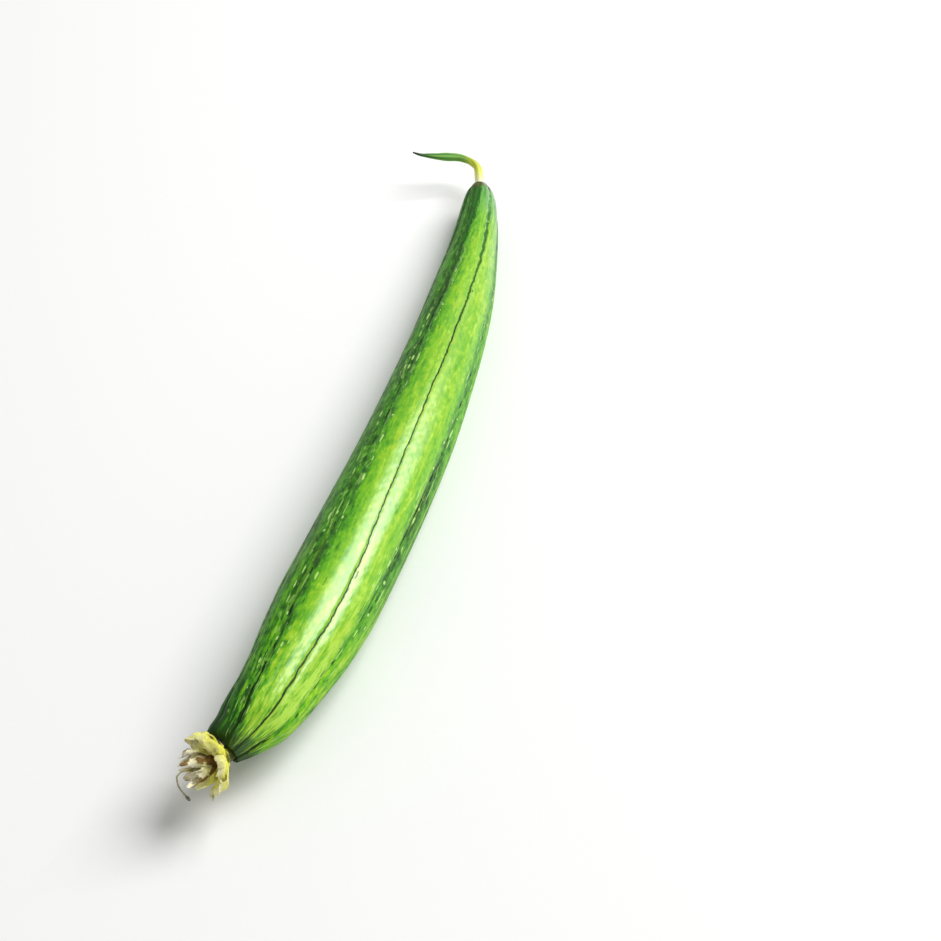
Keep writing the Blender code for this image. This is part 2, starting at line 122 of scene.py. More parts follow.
LINE_STATIONS = (0.0, 0.1, 0.25, 0.4, 0.55, 0.7, 0.85, 0.94, 1.0)
LINE_STRENGTH = (
    (0.66, 0.70, 0.84, 1.00, 1.00, 1.00, 1.00, 1.00, 1.0),
    (0.10, 0.10, 0.10, 0.25, 0.40, 0.38, 0.20, 0.15, 1.0),
    (0.30, 0.35, 0.40, 0.50, 0.55, 0.60, 0.70, 1.00, 1.0),
    (0.40, 0.50, 0.55, 0.50, 0.55, 0.60, 0.70, 1.00, 1.0),
    (0.35, 0.60, 0.70, 0.80, 0.85, 0.85, 0.90, 1.00, 1.0),
    (0.30, 0.45, 0.50, 0.45, 0.55, 0.60, 0.70, 1.00, 1.0),
    (0.45, 0.50, 0.55, 0.50, 0.50, 0.55, 0.70, 1.00, 1.0),
    (0.55, 0.50, 0.42, 0.30, 0.26, 0.34, 0.46, 0.70, 1.0),
)
LINE_WIDTH = (1.30, 1.10, 0.62, 0.42, 0.36, 0.36, 0.40, 0.46, 0.60)
LINE_BREADTH = (1.0, 1.2, 1.3, 1.3, 1.3, 1.3, 1.3, 1.25)

# Pale and dark dashes beside each furrow, as the share of places that hold one
DASH_SHARE = (0.05, 0.50, 0.45, 0.50, 0.35, 0.50, 0.45, 0.62)

# Dark band that ends at a furrow, near the stem: how much deeper its green is
BAND_DEPTH = (0.15, 0.10, 0.20, 0.20, 0.20, 0.20, 0.20, 0.40)

# Depth of green round the fruit at the pattern's angles, 0 lime to 1 darkest; the deeper flanks are
# partly painted shade

SHADE_ANGLES = (
    -90, -67, -50, -38, -31, -24, -18, -12, -6, 0, 8, 19, 30, 45, 55, 62, 69, 76, 85, 95, 112, 134,
    157, 180, 205, 228, 250,
)
SHADE_DEPTHS = (
    0.70, 0.80, 0.72, 0.74, 0.80, 0.86, 0.70, 0.46, 0.28, 0.15, 0.06, 0.04, 0.06, 0.08, 0.18, 0.45,
    0.72, 0.55, 0.40, 0.36, 0.60, 0.42, 0.62, 0.45, 0.64, 0.48, 0.68,
)
# Oval patches of more or less depth; the one on the left shoulder of the blossom end is painted shade
SHADE_PATCHES = (
    (-0.02, 0.05, -66, 40, 0.16), (1.00, 0.09, -88, 46, 0.24), (1.00, 0.03, 0, 70, 0.22),
    (0.00, 0.025, 75, 75, 0.45), (0.03, 0.09, 62, 58, 0.40), (0.93, 0.10, 66, 26, -0.50),
    (0.02, 0.07, 90, 40, 0.30),
    (0.66, 0.14, 88, 22, 0.30), (0.22, 0.13, -85, 26, -0.18),
    (0.06, 0.10, -12, 14, -0.14), (0.00, 0.05, 4, 30, 0.14), (0.93, 0.06, -40, 40, -0.14),
)

# Wax: glossiest along this angle of the pattern, duller away from it
WAX_ANGLE = 25
WAX_SPREAD = 36

# Stem: sideways, away and up from the fruit's end, width, thickness in mm, and roll in degrees

STEM_PATH = (
    (0.0, -1.2, 0.0, 5.2, 5.2, 0), (0.0, 3.0, 0.0, 5.2, 5.2, 0), (-0.1, 7.0, 0.1, 5.1, 5.1, 0),
    (-0.3, 12.5, 0.3, 4.9, 4.9, 0), (-0.8, 17.2, 0.6, 4.4, 4.4, 0), (-2.6, 21.3, 1.0, 4.1, 4.1, -8),
    (-6.0, 24.1, 1.7, 3.9, 3.9, -20), (-11.3, 25.2, 2.8, 4.3, 3.1, -38),
    (-17.8, 24.3, 3.9, 4.7, 2.5, -45), (-25.0, 23.4, 5.0, 3.3, 2.0, -48),
    (-31.5, 23.4, 5.8, 1.8, 1.3, -50), (-36.8, 25.1, 6.4, 0.7, 0.7, -50),
)
STEM_RINGS = 190
STEM_SIDES = 60
STEM_RIDGES = 5
STEM_RIDGE_SHARE = 0.055
STEM_TWIST = 0.35
STEM_FLOW = (2.5 * MM, 62 * MM)

# Blossom, as in the solid

BLOSSOM_HEADING = 44
BLOSSOM_RISE = 14
SOCKET_REACH = 1.2 * MM
NECK_REACH = 1.1 * MM
CUP_REACH = 2.8 * MM
CUP_OUTER = ((0.0, 2.8), (0.34, 2.8), (0.58, 2.9), (0.72, 3.3), (0.88, 3.9), (1.0, 4.2))
CUP_INNER = ((1.0, 3.5), (0.92, 3.4), (0.84, 3.2), (0.76, 3.0))
CUP_RINGS = (46, 16)
LEAST_OUT = 1.6 * MM
WIDTH_SPAN = (0.10, 0.92)
EDGE_WAVES = 4.2
CRUMPLE_ALONG = 14.5
CRUMPLE_ACROSS = 3.4
CRUMPLE_SLANT = 5.0
BLADE_TWIST = 0.45
BLADE_TRIM = 0.985
BLOSSOM_SEED = 11
WHORL = 5
SEPAL_SEED, PETAL_SEED = 23, 29
SEPAL_GRID, PETAL_GRID = (26, 15), (46, 40)
SEPAL_RUFFLE, PETAL_RUFFLE = 0.12 * MM, 0.28 * MM
SEPAL_THICKNESS = 0.6 * MM
SEPAL = {
    "length": 3.2 * MM, "width": 3.4 * MM, "root": 3.6 * MM, "lift": -1.2 * MM, "turn": (78, 62),
    "curl": 6, "pleat": 0.2 * MM, "pleats": 0.6, "crumple": 0.0, "point": 1.3, "ragged": 0.0,
}
OUTER_PETAL = {
    "length": 15.0 * MM, "width": 15.0 * MM, "root": 2.1 * MM, "lift": 1.6 * MM, "turn": (108, -6),
    "curl": 12, "pleat": 1.1 * MM, "pleats": 1.4, "crumple": 0.8 * MM, "point": 0.30, "ragged": 0.14,
}
INNER_PETAL = {
    "length": 15.5 * MM, "width": 9.5 * MM, "root": 2.0 * MM, "lift": 1.6 * MM, "turn": (34, -10),
    "curl": 16, "pleat": 1.2 * MM, "pleats": 1.3, "crumple": 0.7 * MM, "point": 0.32, "ragged": 0.18,
}
TUBE_OUTLINE = ((-0.6, 2.4), (0.6, 2.5), (2.0, 2.45), (3.0, 2.2), (2.9, 1.7), (1.5, 1.5), (-0.5, 1.6))
CUP_SIDES, TUBE_SIDES, STYLE_SIDES = 90, 48, 18
STYLE_RINGS = 120
STYLE_RADIUS, KNOB_RADIUS = 0.28 * MM, 0.42 * MM
STYLE_UP = (0.35, 0.9, 0.2)
STYLE_PATH = (
    (-0.4, 0), (8, 0), (15, -0.5), (18.6, -3.5), (18.8, -9.0), (17.6, -15.0), (16.0, -21.0),
)

# Camera, as fitted to the fruit's outline in the photo; the angles are in degrees

CAMERA_PLACE = (144.87 * MM, -448.05 * MM, 506.46 * MM)
CAMERA_AZIMUTH = 14.28
CAMERA_ELEVATION = 46.77
CAMERA_LENS = 57.39
CAMERA_SENSOR = 36.0

# Light behind the gourd, and the floor

SOFTBOX_PLACE = (1.17, 1.02, 1.91)
SOFTBOX_AIM = (0.0, -0.05, 0.03)
SOFTBOX_SIZE = (1.7, 1.45)
FLOOR_DROP = 0.05 * MM
FLOOR_RADII = (0.3, 0.8, 2.0, 5.0, 12.0)
FLOOR_SIDES = 64


def colour(name, description, default):
    return bpy.props.FloatVectorProperty(
        name=name, description=description, default=default, size=3, min=0, max=1, subtype="COLOR"
    )


class FruitLooks(bpy.types.PropertyGroup):
    pale: colour("Pale lime", "Lightest flecks of the crests", (0.42, 0.71, 0.062))
    lime: colour("Lime", "Skin of the crests", (0.250, 0.54, 0.012))
    fresh: colour("Fresh green", "Skin that is fully lit", (0.155, 0.46, 0.011))
    leaf: colour("Leaf green", "Middle green of the flanks", (0.078, 0.34, 0.010))
    deep: colour("Deep green", "Bands along the furrows", (0.036, 0.175, 0.008))
    line: colour("Line", "Dark line in each furrow", (0.003, 0.017, 0.003))
    fleck: colour("Fleck", "Short pale dashes", (0.52, 0.82, 0.21))
    relief: bpy.props.FloatProperty(
        name="Relief", description="Height of the finest skin relief", default=0.16 * MM,
        min=0, max=MM, unit="LENGTH",
    )
    gloss: bpy.props.FloatProperty(
        name="Wax", description="Strength of the waxy coat", default=0.95, min=0, max=1,
        subtype="FACTOR",
    )


class StemLooks(bpy.types.PropertyGroup):
    root: colour("Root", "Pale root beside the fruit", (0.90, 0.90, 0.64))
    bend: colour("Bend", "Yellow of the bend", (0.74, 0.78, 0.10))
    stalk: colour("Stalk", "Green of the outer stalk", (0.11, 0.34, 0.04))
    tip: colour("Tip", "Dried tip", (0.020, 0.040, 0.028))


class BlossomLooks(bpy.types.PropertyGroup):
    yellow: colour("Yellow", "Fresh yellow at the roots", (0.86, 0.82, 0.075))
    cream: colour("Cream", "Dry tissue", (1.00, 0.92, 0.43))
    blush: colour("Blush", "Palest dry edges", (1.00, 0.90, 0.64))
    brown: colour("Brown", "Withered folds", (0.120, 0.050, 0.010))
    thickness: bpy.props.FloatProperty(
        name="Thickness", description="Thickness of a petal", default=0.3 * MM,
        min=0.1 * MM, max=MM, unit="LENGTH",
    )


class StageLooks(bpy.types.PropertyGroup):
    floor: colour("Floor", "Plain pale floor", (0.90, 0.90, 0.895))
    key: bpy.props.FloatProperty(
        name="Softbox", description="Power of the large light behind", default=66.0, min=0,
        unit="POWER",
    )
    sky: bpy.props.FloatProperty(
        name="Fill", description="Brightness of the room", default=0.38, min=0, max=4,
    )


# Curves and surfaces, worked out as whole arrays


def through_points(stations, values, at):
    """Monotone cubic through the points: slopes are harmonic means of the neighbouring steps."""
    x, y = np.asarray(stations, float), np.asarray(values, float)
    step = np.diff(x)
    rise = np.diff(y) / step
    slope = np.zeros_like(y)
    same = rise[:-1] * rise[1:] > 0
    left, right = 2 * step[1:] + step[:-1], step[1:] + 2 * step[:-1]
    safe = np.where(same, rise[:-1] * rise[1:], 1.0)
    mean = (left + right) * safe / (left * rise[1:] + right * rise[:-1] + (~same))
    slope[1:-1] = np.where(same, mean, 0.0)
    slope[0], slope[-1] = rise[0], rise[-1]
    i = np.clip(np.searchsorted(x, at) - 1, 0, len(step) - 1)
    t = (np.asarray(at, float) - x[i]) / step[i]
    hermite = (1 + 2 * t) * (1 - t) ** 2 * y[i] + t * (1 - t) ** 2 * step[i] * slope[i]
    return hermite + t * t * (3 - 2 * t) * y[i + 1] - t * t * (1 - t) * step[i] * slope[i + 1]


def smooth_path(points, at):
    """Each column of the points through the monotone cubic, evenly spaced from 0 to 1."""
    table = np.asarray(points, float)
    knots = np.linspace(0, 1, len(table))
    return np.stack([through_points(knots, column, at) for column in table.T], axis=-1)


def unit(vectors):
    return vectors / np.linalg.norm(vectors, axis=-1, keepdims=True)


def smooth_step(low, high, value):
    """0 below low, 1 above high, and the cubic 3 t squared minus 2 t cubed between."""
    t = np.clip((value - low) / (high - low), 0, 1)
    return t * t * (3 - 2 * t)


def bell(value):
    """e to the power of minus the square: 1 at 0, and next to nothing beyond 2."""
    return np.exp(-(value ** 2))


def bell_round(angle, middle, spread):
    """Bell curve of the way round from the middle, both it and the spread in degrees."""
    return bell(np.angle(np.exp(1j * (angle - math.radians(middle)))) / math.radians(spread))


def turns(count):
    """That many angles, evenly round a circle."""
    return np.linspace(0, math.tau, count, endpoint=False)


def frames_of(tangent, reference=UP):
    """The tangent with its sideways and upward directions, upward nearest to the reference."""
    side = unit(np.cross(reference, tangent))
    return tangent, side, np.cross(tangent, side)


def frames_along(points, reference=UP):
    return frames_of(unit(np.gradient(points, axis=0)), reference)


def spokes_at(radius, angle, up, side):
    """Steps of the radius at the angles, from straight up towards the side."""
    up, side = up[..., None, :], side[..., None, :]
    return radius[..., None] * (np.cos(angle)[..., None] * up + np.sin(angle)[..., None] * side)


def grid_faces(rows, columns, around=False):
    """Quads of a grid of vertices, numbered row by row; around also joins its sides."""
    r = np.arange(rows - 1)[:, None]
    c = np.arange(columns if around else columns - 1)[None, :]
    d = (c + 1) % columns
    quads = [r * columns + c, r * columns + d, (r + 1) * columns + d, (r + 1) * columns + c]
    return np.stack([q.ravel() for q in quads], axis=1)


def add_object(name, data):
    made = bpy.data.objects.new(name, data)
    bpy.context.scene.collection.objects.link(made)
    return made


def mesh_piece(name, points, faces, fields, material):
    """A smooth mesh of points and blocks of faces, with each field stored on its points."""
    mesh = bpy.data.meshes.new(name)
    mesh.from_pydata(points.tolist(), [], [f for block in faces for f in block.tolist()])
    for field, values in fields.items():
        values = np.asarray(values, np.float32)
        vector = values.ndim == 2
        attribute = mesh.attributes.new(field, "FLOAT_VECTOR" if vector else "FLOAT", "POINT")
        attribute.data.foreach_set("vector" if vector else "value", values.ravel())
    mesh.validate()
    mesh.shade_smooth()
    mesh.materials.append(material)
    return add_object(name, mesh)


def closed_tube(rings):
    """Points and faces of a skin through rings of points, with each end closed on its middle.

    The rings run so that their columns turn anticlockwise seen from the far end, so the quads
    face outwards. A triangle fan joins each end ring to a point in its middle.
    """
    count, sides, _ = rings.shape
    points = np.concatenate([rings.reshape(-1, 3), rings[[0, -1]].mean(axis=1)])
    c = np.arange(sides)
    d = (c + 1) % sides
    near, last = np.full(sides, count * sides), (count - 1) * sides
    start, stop = np.stack([near, d, c], axis=1), np.stack([near + 1, last + c, last + d], axis=1)
    return points, [start, stop, grid_faces(count, sides, around=True)]


def closed_ring(rings):
    """Points and faces of a ring-shaped body: its rings of points, the last joined to the first."""
    count, sides, _ = rings.shape
    faces = grid_faces(count + 1, sides, around=True) % (count * sides)
    return rings.reshape(-1, 3), [faces]


def with_ends(values):
    """A field over rings of points, with its values for the two middles of closed_tube."""
    flat = values.reshape(-1, *values.shape[2:])
    return np.concatenate([flat, values[[0, -1]].mean(axis=1)])


def by_ring(values, sides):
    """Likewise for a field with one value on each ring, and that many points in a ring."""
    return np.concatenate([np.repeat(values, sides), values[[0, -1]]])


def thick_sheet(grid, thickness):
    """Points and faces of a sheet with thickness: the grid moved both ways along its normals.

    The normals are the cross products of the grid's differences along rows and columns. The two
    sides are joined round the rim by quads.
    """
    rows, columns, _ = grid.shape
    normal = unit(np.cross(np.gradient(grid, axis=0), np.gradient(grid, axis=1)) + 1e-12)
    half = normal * np.asarray(thickness)[..., None] / 2
    points = np.concatenate([(grid + half).reshape(-1, 3), (grid - half).reshape(-1, 3)])
    index = np.arange(rows * columns).reshape(rows, columns)
    rim = np.concatenate([index[0, :-1], index[:-1, -1], index[-1, :0:-1], index[:0:-1, 0]])
    after = np.roll(rim, -1)
    wall = np.stack([rim, rim + index.size, after + index.size, after], axis=1)
    top = grid_faces(rows, columns)
    return points, [top, top[:, ::-1] + index.size, wall]


# Shader maths


class Wire:
    """A node's output: the operators add Math nodes, so shader maths reads as an expression."""

    def __init__(self, finish, socket):
        self.finish = finish
        self.socket = socket

    def math(self, operation, *values):
        return self.finish.node("Math", {"operation": operation}, dict(enumerate((self, *values))))

    def __add__(self, other):
        return self.math("ADD", other)

    def __sub__(self, other):
        return self.math("SUBTRACT", other)

    def __rsub__(self, other):
        return self.finish.node("Math", {"operation": "SUBTRACT"}, {0: other, 1: self})

    def __mul__(self, other):
        return self.math("MULTIPLY", other)

    def __truediv__(self, other):
        return self.math("DIVIDE", other)

    def __pow__(self, other):
        return self.math("POWER", other)

    def __abs__(self):
        return self.math("ABSOLUTE")

    __radd__ = __add__
    __rmul__ = __mul__

    def rise(self, low, high):
        """0 below low, 1 above high, smooth between: the bounds may be wires or numbers."""
        values = {"Value": self, "From Min": low, "From Max": high}
        return self.finish.node("MapRange", {"interpolation_type": "SMOOTHSTEP"}, values)

    def fall(self, low, high):
        return 1 - self.rise(low, high)


class Finish:
    """A material in the making: node() adds any node, and the rest are short forms of it."""

    def __init__(self, name, **constants):
        self.material = bpy.data.materials.new(name)
        self.material.use_nodes = True
        self.tree = self.material.node_tree
        self.shader = self.tree.nodes["Principled BSDF"]
        self.paint(**constants)

    def node(self, kind, settings=None, sockets=None, output=0):
        """Adds a node: its settings first, a ramp's stops among them, then values or links."""
        made = self.tree.nodes.new("ShaderNode" + kind)
        for key, value in (settings or {}).items():
            if key == "stops":
                self.set_stops(made.color_ramp, value)
            else:
                setattr(made, key, value)
        for key, value in (sockets or {}).items():
            self.feed(made.inputs[key], value)
        return Wire(self, made.outputs[output])

    def set_stops(self, ramp, stops):
        while len(ramp.elements) < len(stops):
            ramp.elements.new(1.0)
        for element, (place, tint) in zip(ramp.elements, stops):
            element.position = place
            element.color = (*tint, 1.0)

    def feed(self, socket, value):
        """Links a wire to the socket, or sets its value; a colour gets its alpha."""
        if isinstance(value, Wire):
            self.tree.links.new(value.socket, socket)
        elif socket.type == "RGBA" and len(value) == 3:
            socket.default_value = (*value, 1.0)
        else:
            socket.default_value = value

    def field(self, name, vector=False):
        return self.node("Attribute", {"attribute_name": name}, output=1 if vector else 2)

    def noise(self, vector, scale=(1, 1, 1), shift=(0, 0, 0), **more):
        """Noise of the vector times the scale, plus the shift."""
        place = self.node("Mapping", None, {"Vector": vector, "Scale": scale, "Location": shift})
        sockets = {"Detail": 2, "Roughness": 0.5, "Distortion": 0, **more}
        return self.node("TexNoise", None, {"Vector": place, "Scale": 1, **sockets})

    def dashes(self, around, along, reach, cell, size, shift, share):
        """How far from the middle of the nearest dash, in half-sizes, or far off where none is kept.

        Each cell of the given width and length has a random point with a dash of about the given
        half-width and half-length. The share is a function of the point's distance to its furrow.
        """
        place = self.node("CombineXYZ", None, {0: around / cell[0] + shift, 1: along / cell[1] + shift})
        sockets = {"Vector": place, "Scale": 1.0, "Randomness": 0.85}
        near = self.node("TexVoronoi", {"voronoi_dimensions": "2D"}, sockets).socket.node.outputs
        step = self.node("VectorMath", {"operation": "SUBTRACT"}, {0: place, 1: Wire(self, near[2])})
        step = self.node("SeparateXYZ", None, {0: step}).socket.node.outputs
        number = self.node("SeparateColor", None, {"Color": Wire(self, near[1])}).socket.node.outputs
        sideways, lengthways = Wire(self, step[0]) * cell[0], Wire(self, step[1]) * cell[1]
        thick = Wire(self, number[1]) * (1.1 * size[0]) + 0.50 * size[0]
        tall = (Wire(self, number[2]) ** 2) * (1.9 * size[1]) + 0.45 * size[1]
        distance = ((sideways / thick) ** 2 + abs(lengthways / tall) ** 2.4) ** 0.5
        missing = (Wire(self, number[0]) - share(abs(reach - sideways))).rise(-0.02, 0.02)
        return distance + missing * 9

    def mix(self, share, first, second):
        settings = {"data_type": "RGBA", "clamp_factor": True}
        return self.node("Mix", settings, {0: share, 6: first, 7: second}, output=2)

    def layers(self, tone, *steps):
        """The tone with each step's colour mixed over it in turn, by the step's share."""
        for share, tint in steps:
            tone = self.mix(share, tone, tint)
        return tone

    def ramp(self, value, stops):
        return self.node("ValToRGB", {"stops": stops}, {"Fac": value})

    def bump(self, height, distance, strength=1.0):
        sockets = {"Height": height, "Distance": distance, "Strength": strength}
        self.feed(self.shader.inputs["Normal"], self.node("Bump", None, sockets))

    def paint(self, **sockets):
        """Feeds the shader's sockets, named with _ for each blank, and gives the material."""
        for socket, value in sockets.items():
            self.feed(self.shader.inputs[socket.replace("_", " ")], value)
        return self.material


# Fruit


def bow_at(station):
    """How far the centreline stands out: a skewed parabola, a slight sway, and a hook at each end."""
    bow = 4 * FRUIT_BOW * station * (1 - station) * (1 + BOW_SKEW * (station - 0.5))
    sway = FRUIT_SWAY * np.cos(math.tau * (station - SWAY_CREST) / SWAY_WAVE)
    turned = TIP_HOOK * np.clip(1 - (1 - station) / TIP_REACH, 0, None) ** 2
    return bow + sway - END_HOOK * np.clip(1 - station / HOOK_REACH, 0, None) ** 3 - turned


def fruit_axis(station):
    """The centreline: bowed in plan, and a straight line with a slight rise seen from the side."""
    s = np.asarray(station, float)
    bow = bow_at(s) - bow_at(REST_STATION)
    along = (REST_STATION - s) * FRUIT_LENGTH
    height = AXIS_HEIGHT + AXIS_RISE * (s - REST_STATION)
    return np.stack([bow, along, height], axis=-1)


def furrow_angles_at(station):
    """The furrows' angles in degrees: turned towards +X near both ends, and wandering a little."""
    s = np.asarray(station, float)[:, None]
    base = np.asarray(FURROW_ANGLES, float)[None, :]
    twist = FURROW_TWIST * np.clip(1 - s / TWIST_REACH, 0, None) ** 2
    drift = np.asarray(FURROW_DRIFT, float)[None, :] * smooth_step(*DRIFT_SPAN, s)
    wander = FURROW_WANDER * np.sin(math.tau * (WANDER_WAVES * s + base / WANDER_SPREAD))
    return base + twist + drift + wander


def furrow_kinks(station):
    """Sideways shift of each furrow, in metres: straight runs between seeded points, at two sizes."""
    rng = np.random.default_rng(KINK_SEED)
    total = np.zeros((len(station), FURROWS))
    for runs, size in KINK_RUNS:
        knots = np.linspace(0, 1, runs) + rng.uniform(-0.3, 0.3, runs) / runs
        for k in range(FURROWS):
            total[:, k] += size * np.interp(station, knots, rng.uniform(-1, 1, runs))
    return KINKS * total * np.clip((1 - station[:, None]) / 0.1, 0, 1)


def shoulder_at(station, angle):
    """Swelling and roll beyond the socket, both a bell curve round the fruit, as in the solid.

    The swelling grows along the stations of its table. Past the last one it goes down as a cosine
    to nothing at the tip, while the roll pushes the skin forwards by a half sine times that cosine.
    """
    past = np.clip((station - SHOULDER_END) / (1 - SHOULDER_END), 0, 1)
    grown = through_points(*zip(*SHOULDER_STATIONS), np.minimum(station, SHOULDER_END))
    around = bell_round(angle, SHOULDER_ANGLE, SHOULDER_SPREAD)
    swelling = SHOULDER_SIZE * (grown * np.cos(math.pi / 2 * past))[:, None] * around
    rolled = np.sin(math.pi * past) * np.cos(math.pi / 2 * past)
    return swelling, SHOULDER_ROLL * rolled[:, None] * around


def columns_between(furrows):
    """Values at the columns: linear from each furrow to the next, closer together beside them."""
    t = np.arange(SKIN_COLUMNS) / SKIN_COLUMNS
    share = 0.45 * t + 0.55 * 0.5 * (1 - np.cos(math.pi * t))
    following = np.roll(furrows, -1, axis=-1)
    following[..., -1] += 360
    steps = furrows[..., :, None] + share * (following - furrows)[..., :, None]
    return steps.reshape(*furrows.shape[:-1], -1), share


def swell_of_skin(station, pattern):
    """Soft unevenness and dimples: waves with whole numbers round the fruit and seeded phases."""
    rng = np.random.default_rng(SWELL_SEED)
    total = 0.0
    for height, waves in ((SWELL, SWELL_WAVES), (DIMPLES, DIMPLE_WAVES)):
        for waves_round, waves_along in waves:
            turn = waves_round * pattern + math.tau * waves_along * station
            total = total + height * np.sin(turn + rng.uniform(0, math.tau))
    return total * np.clip(np.minimum(station, 1 - station) / 0.05, 0, 1)


def by_nearest_furrow(values, share):
    """Values of the furrows, along the last axis, given to the columns that lie nearest to each."""
    nearest = np.repeat(np.arange(FURROWS), SKIN_COLUMNS) + np.tile(share > 0.5, FURROWS)
    return np.asarray(values)[..., nearest % FURROWS]


def shade_field(station, pattern):
    """Depth of green, deeper on the flanks as painted shade: straight between the table's angles, plus
    a few oval patches.

    A patch is a bell curve along the fruit times one round it, and has its middle and its spread
    along the fruit, its middle and its spread round it in degrees, and its depth.
    """
    depth = np.interp(np.degrees(pattern), SHADE_ANGLES, SHADE_DEPTHS, period=360)
    depth = np.broadcast_to(depth, (len(station), len(pattern))).copy()
    for middle, spread, angle, width, more in SHADE_PATCHES:
        along = bell((station - middle) / spread)[:, None]
        depth += more * along * bell_round(pattern, angle, width)
    return depth


def fruit_points(station, angle, radius, roll):
    """Points at the radius from the centreline, at the angles from straight up towards +X.

    The roll moves them along the centreline.
    """
    centre = fruit_axis(station)
    tangent, side, up = frames_along(centre)
    spokes = spokes_at(radius, angle, up, side)
    return centre[:, None] + spokes + roll[..., None] * tangent[:, None]


def end_rings(ring, centre, away, lip):
    """Rings that roll the skin's end over into its socket: radius and reach of each, in mm."""
    spokes = ring - centre
    reach = np.linalg.norm(spokes, axis=-1, keepdims=True)
    uneven = reach / reach.mean()
    rings = []
    for k, (radius, along) in enumerate(lip):
        blend = uneven ** (1 - (k + 1) / len(lip))
        rings.append(centre + spokes / reach * radius * MM * blend + away * along * MM)
    return np.stack(rings)


def grow_fruit(looks):
    """The skin: radius minus a crease and a dish along each furrow, lying on its flat spot.

    Beside each furrow the groove is a narrow and a wide bell curve of the distance to it. Short
    extra furrows open on the crests near the blossom end, and the underside is cut level.
    """
    even = np.linspace(0, 1, SKIN_RINGS)
    station = EVEN_SHARE * even + (1 - EVEN_SHARE) * 0.5 * (1 - np.cos(math.pi * even))
    mean = through_points(*zip(*FRUIT_PROFILE), station) * MM
    furrows = furrow_angles_at(station) + np.degrees(furrow_kinks(station) / mean[:, None])
    angle, share = columns_between(furrows)
    angle = np.radians(angle)
    pattern = np.radians(columns_between(np.array(FURROW_ANGLES, float))[0])

    start = np.repeat(np.radians(furrows), SKIN_COLUMNS, axis=1)
    following = np.roll(np.radians(furrows), -1, axis=1)
    following[:, -1] += math.tau
    stop = np.repeat(following, SKIN_COLUMNS, axis=1)
    past, before = (angle - start) * mean[:, None], (angle - stop) * mean[:, None]
    reach = np.where(past < -before, past, before)
    crest = np.abs(angle - (start + stop) / 2) * mean[:, None]

    ends = bell(station / FURROW_END_REACH) + bell((1 - station) / FURROW_END_REACH)
    fade = np.clip(station / FURROW_TIP_FADE, 0, 1) * np.clip((1 - station) / FURROW_TIP_FADE, 0, 1)
    depth = (FURROW_DEPTH + FURROW_END_DEPTH * ends) * fade
    groove = CREASE_SHARE * bell(reach / FURROW_CREASE)
    groove = depth[:, None] * (groove + (1 - CREASE_SHARE) * bell(reach / FURROW_DISH))
    opening = smooth_step(*RIDGE_SPAN, station) * fade
    short = RIDGE_DEPTH * opening[:, None] * bell(crest / RIDGE_WIDTH)
    uneven = swell_of_skin(station[:, None], pattern[None, :])
    swelling, roll = shoulder_at(station, angle)
    radius = mean[:, None] - groove - short + uneven + swelling - SKIN_INSET
    points = fruit_points(station, angle, radius, roll)

    centre = fruit_axis(station)
    tangent = unit(np.gradient(centre, axis=0))
    stem_end = end_rings(points[0], centre[0], -tangent[0], STEM_LIP)[::-1]
    calyx_end = end_rings(points[-1], centre[-1], tangent[-1], CALYX_LIP)
    rings = np.concatenate([stem_end, points, calyx_end])
    rings[..., 2] = np.maximum(rings[..., 2], 0.0)

    before, after = len(stem_end), len(calyx_end)
    shape = reach.shape

    def field(values):
        values = np.broadcast_to(values, shape)
        ends = values[:1].repeat(before, axis=0), values[-1:].repeat(after, axis=0)
        return with_ends(np.concatenate([ends[0], values, ends[1]])[:, ::-1])

    rows = np.concatenate([np.linspace(-0.01, 0, before), station, np.linspace(1, 1.01, after)])
    strength = np.stack([through_points(LINE_STATIONS, row, station) for row in LINE_STRENGTH], 1)
    width = through_points(LINE_STATIONS, LINE_WIDTH, station) * MM
    wrapped = (pattern + math.pi) % math.tau - math.pi
    fields = {
        "across": field(FLOW_RADIUS * np.cos(pattern)),
        "over": field(FLOW_RADIUS * np.sin(pattern)),
        "around": field(FLOW_RADIUS * wrapped),
        "reach": field(reach),
        "crest": field(crest),
        "strength": field(by_nearest_furrow(strength, share)),
        "width": field(by_nearest_furrow(width[:, None] * np.array(LINE_BREADTH), share)),
        "dashes": field(by_nearest_furrow(DASH_SHARE, share)),
        "shade": field(shade_field(station, pattern)),
        "bands": field(by_nearest_furrow(BAND_DEPTH, share)),
        "wax": field(bell_round(pattern, WAX_ANGLE, WAX_SPREAD)),
        "station": by_ring(rows, shape[1]),
    }
    skin_points, faces = closed_tube(rings[:, ::-1])
    return mesh_piece("gourd_skin", skin_points, faces, fields, skin_finish(looks))


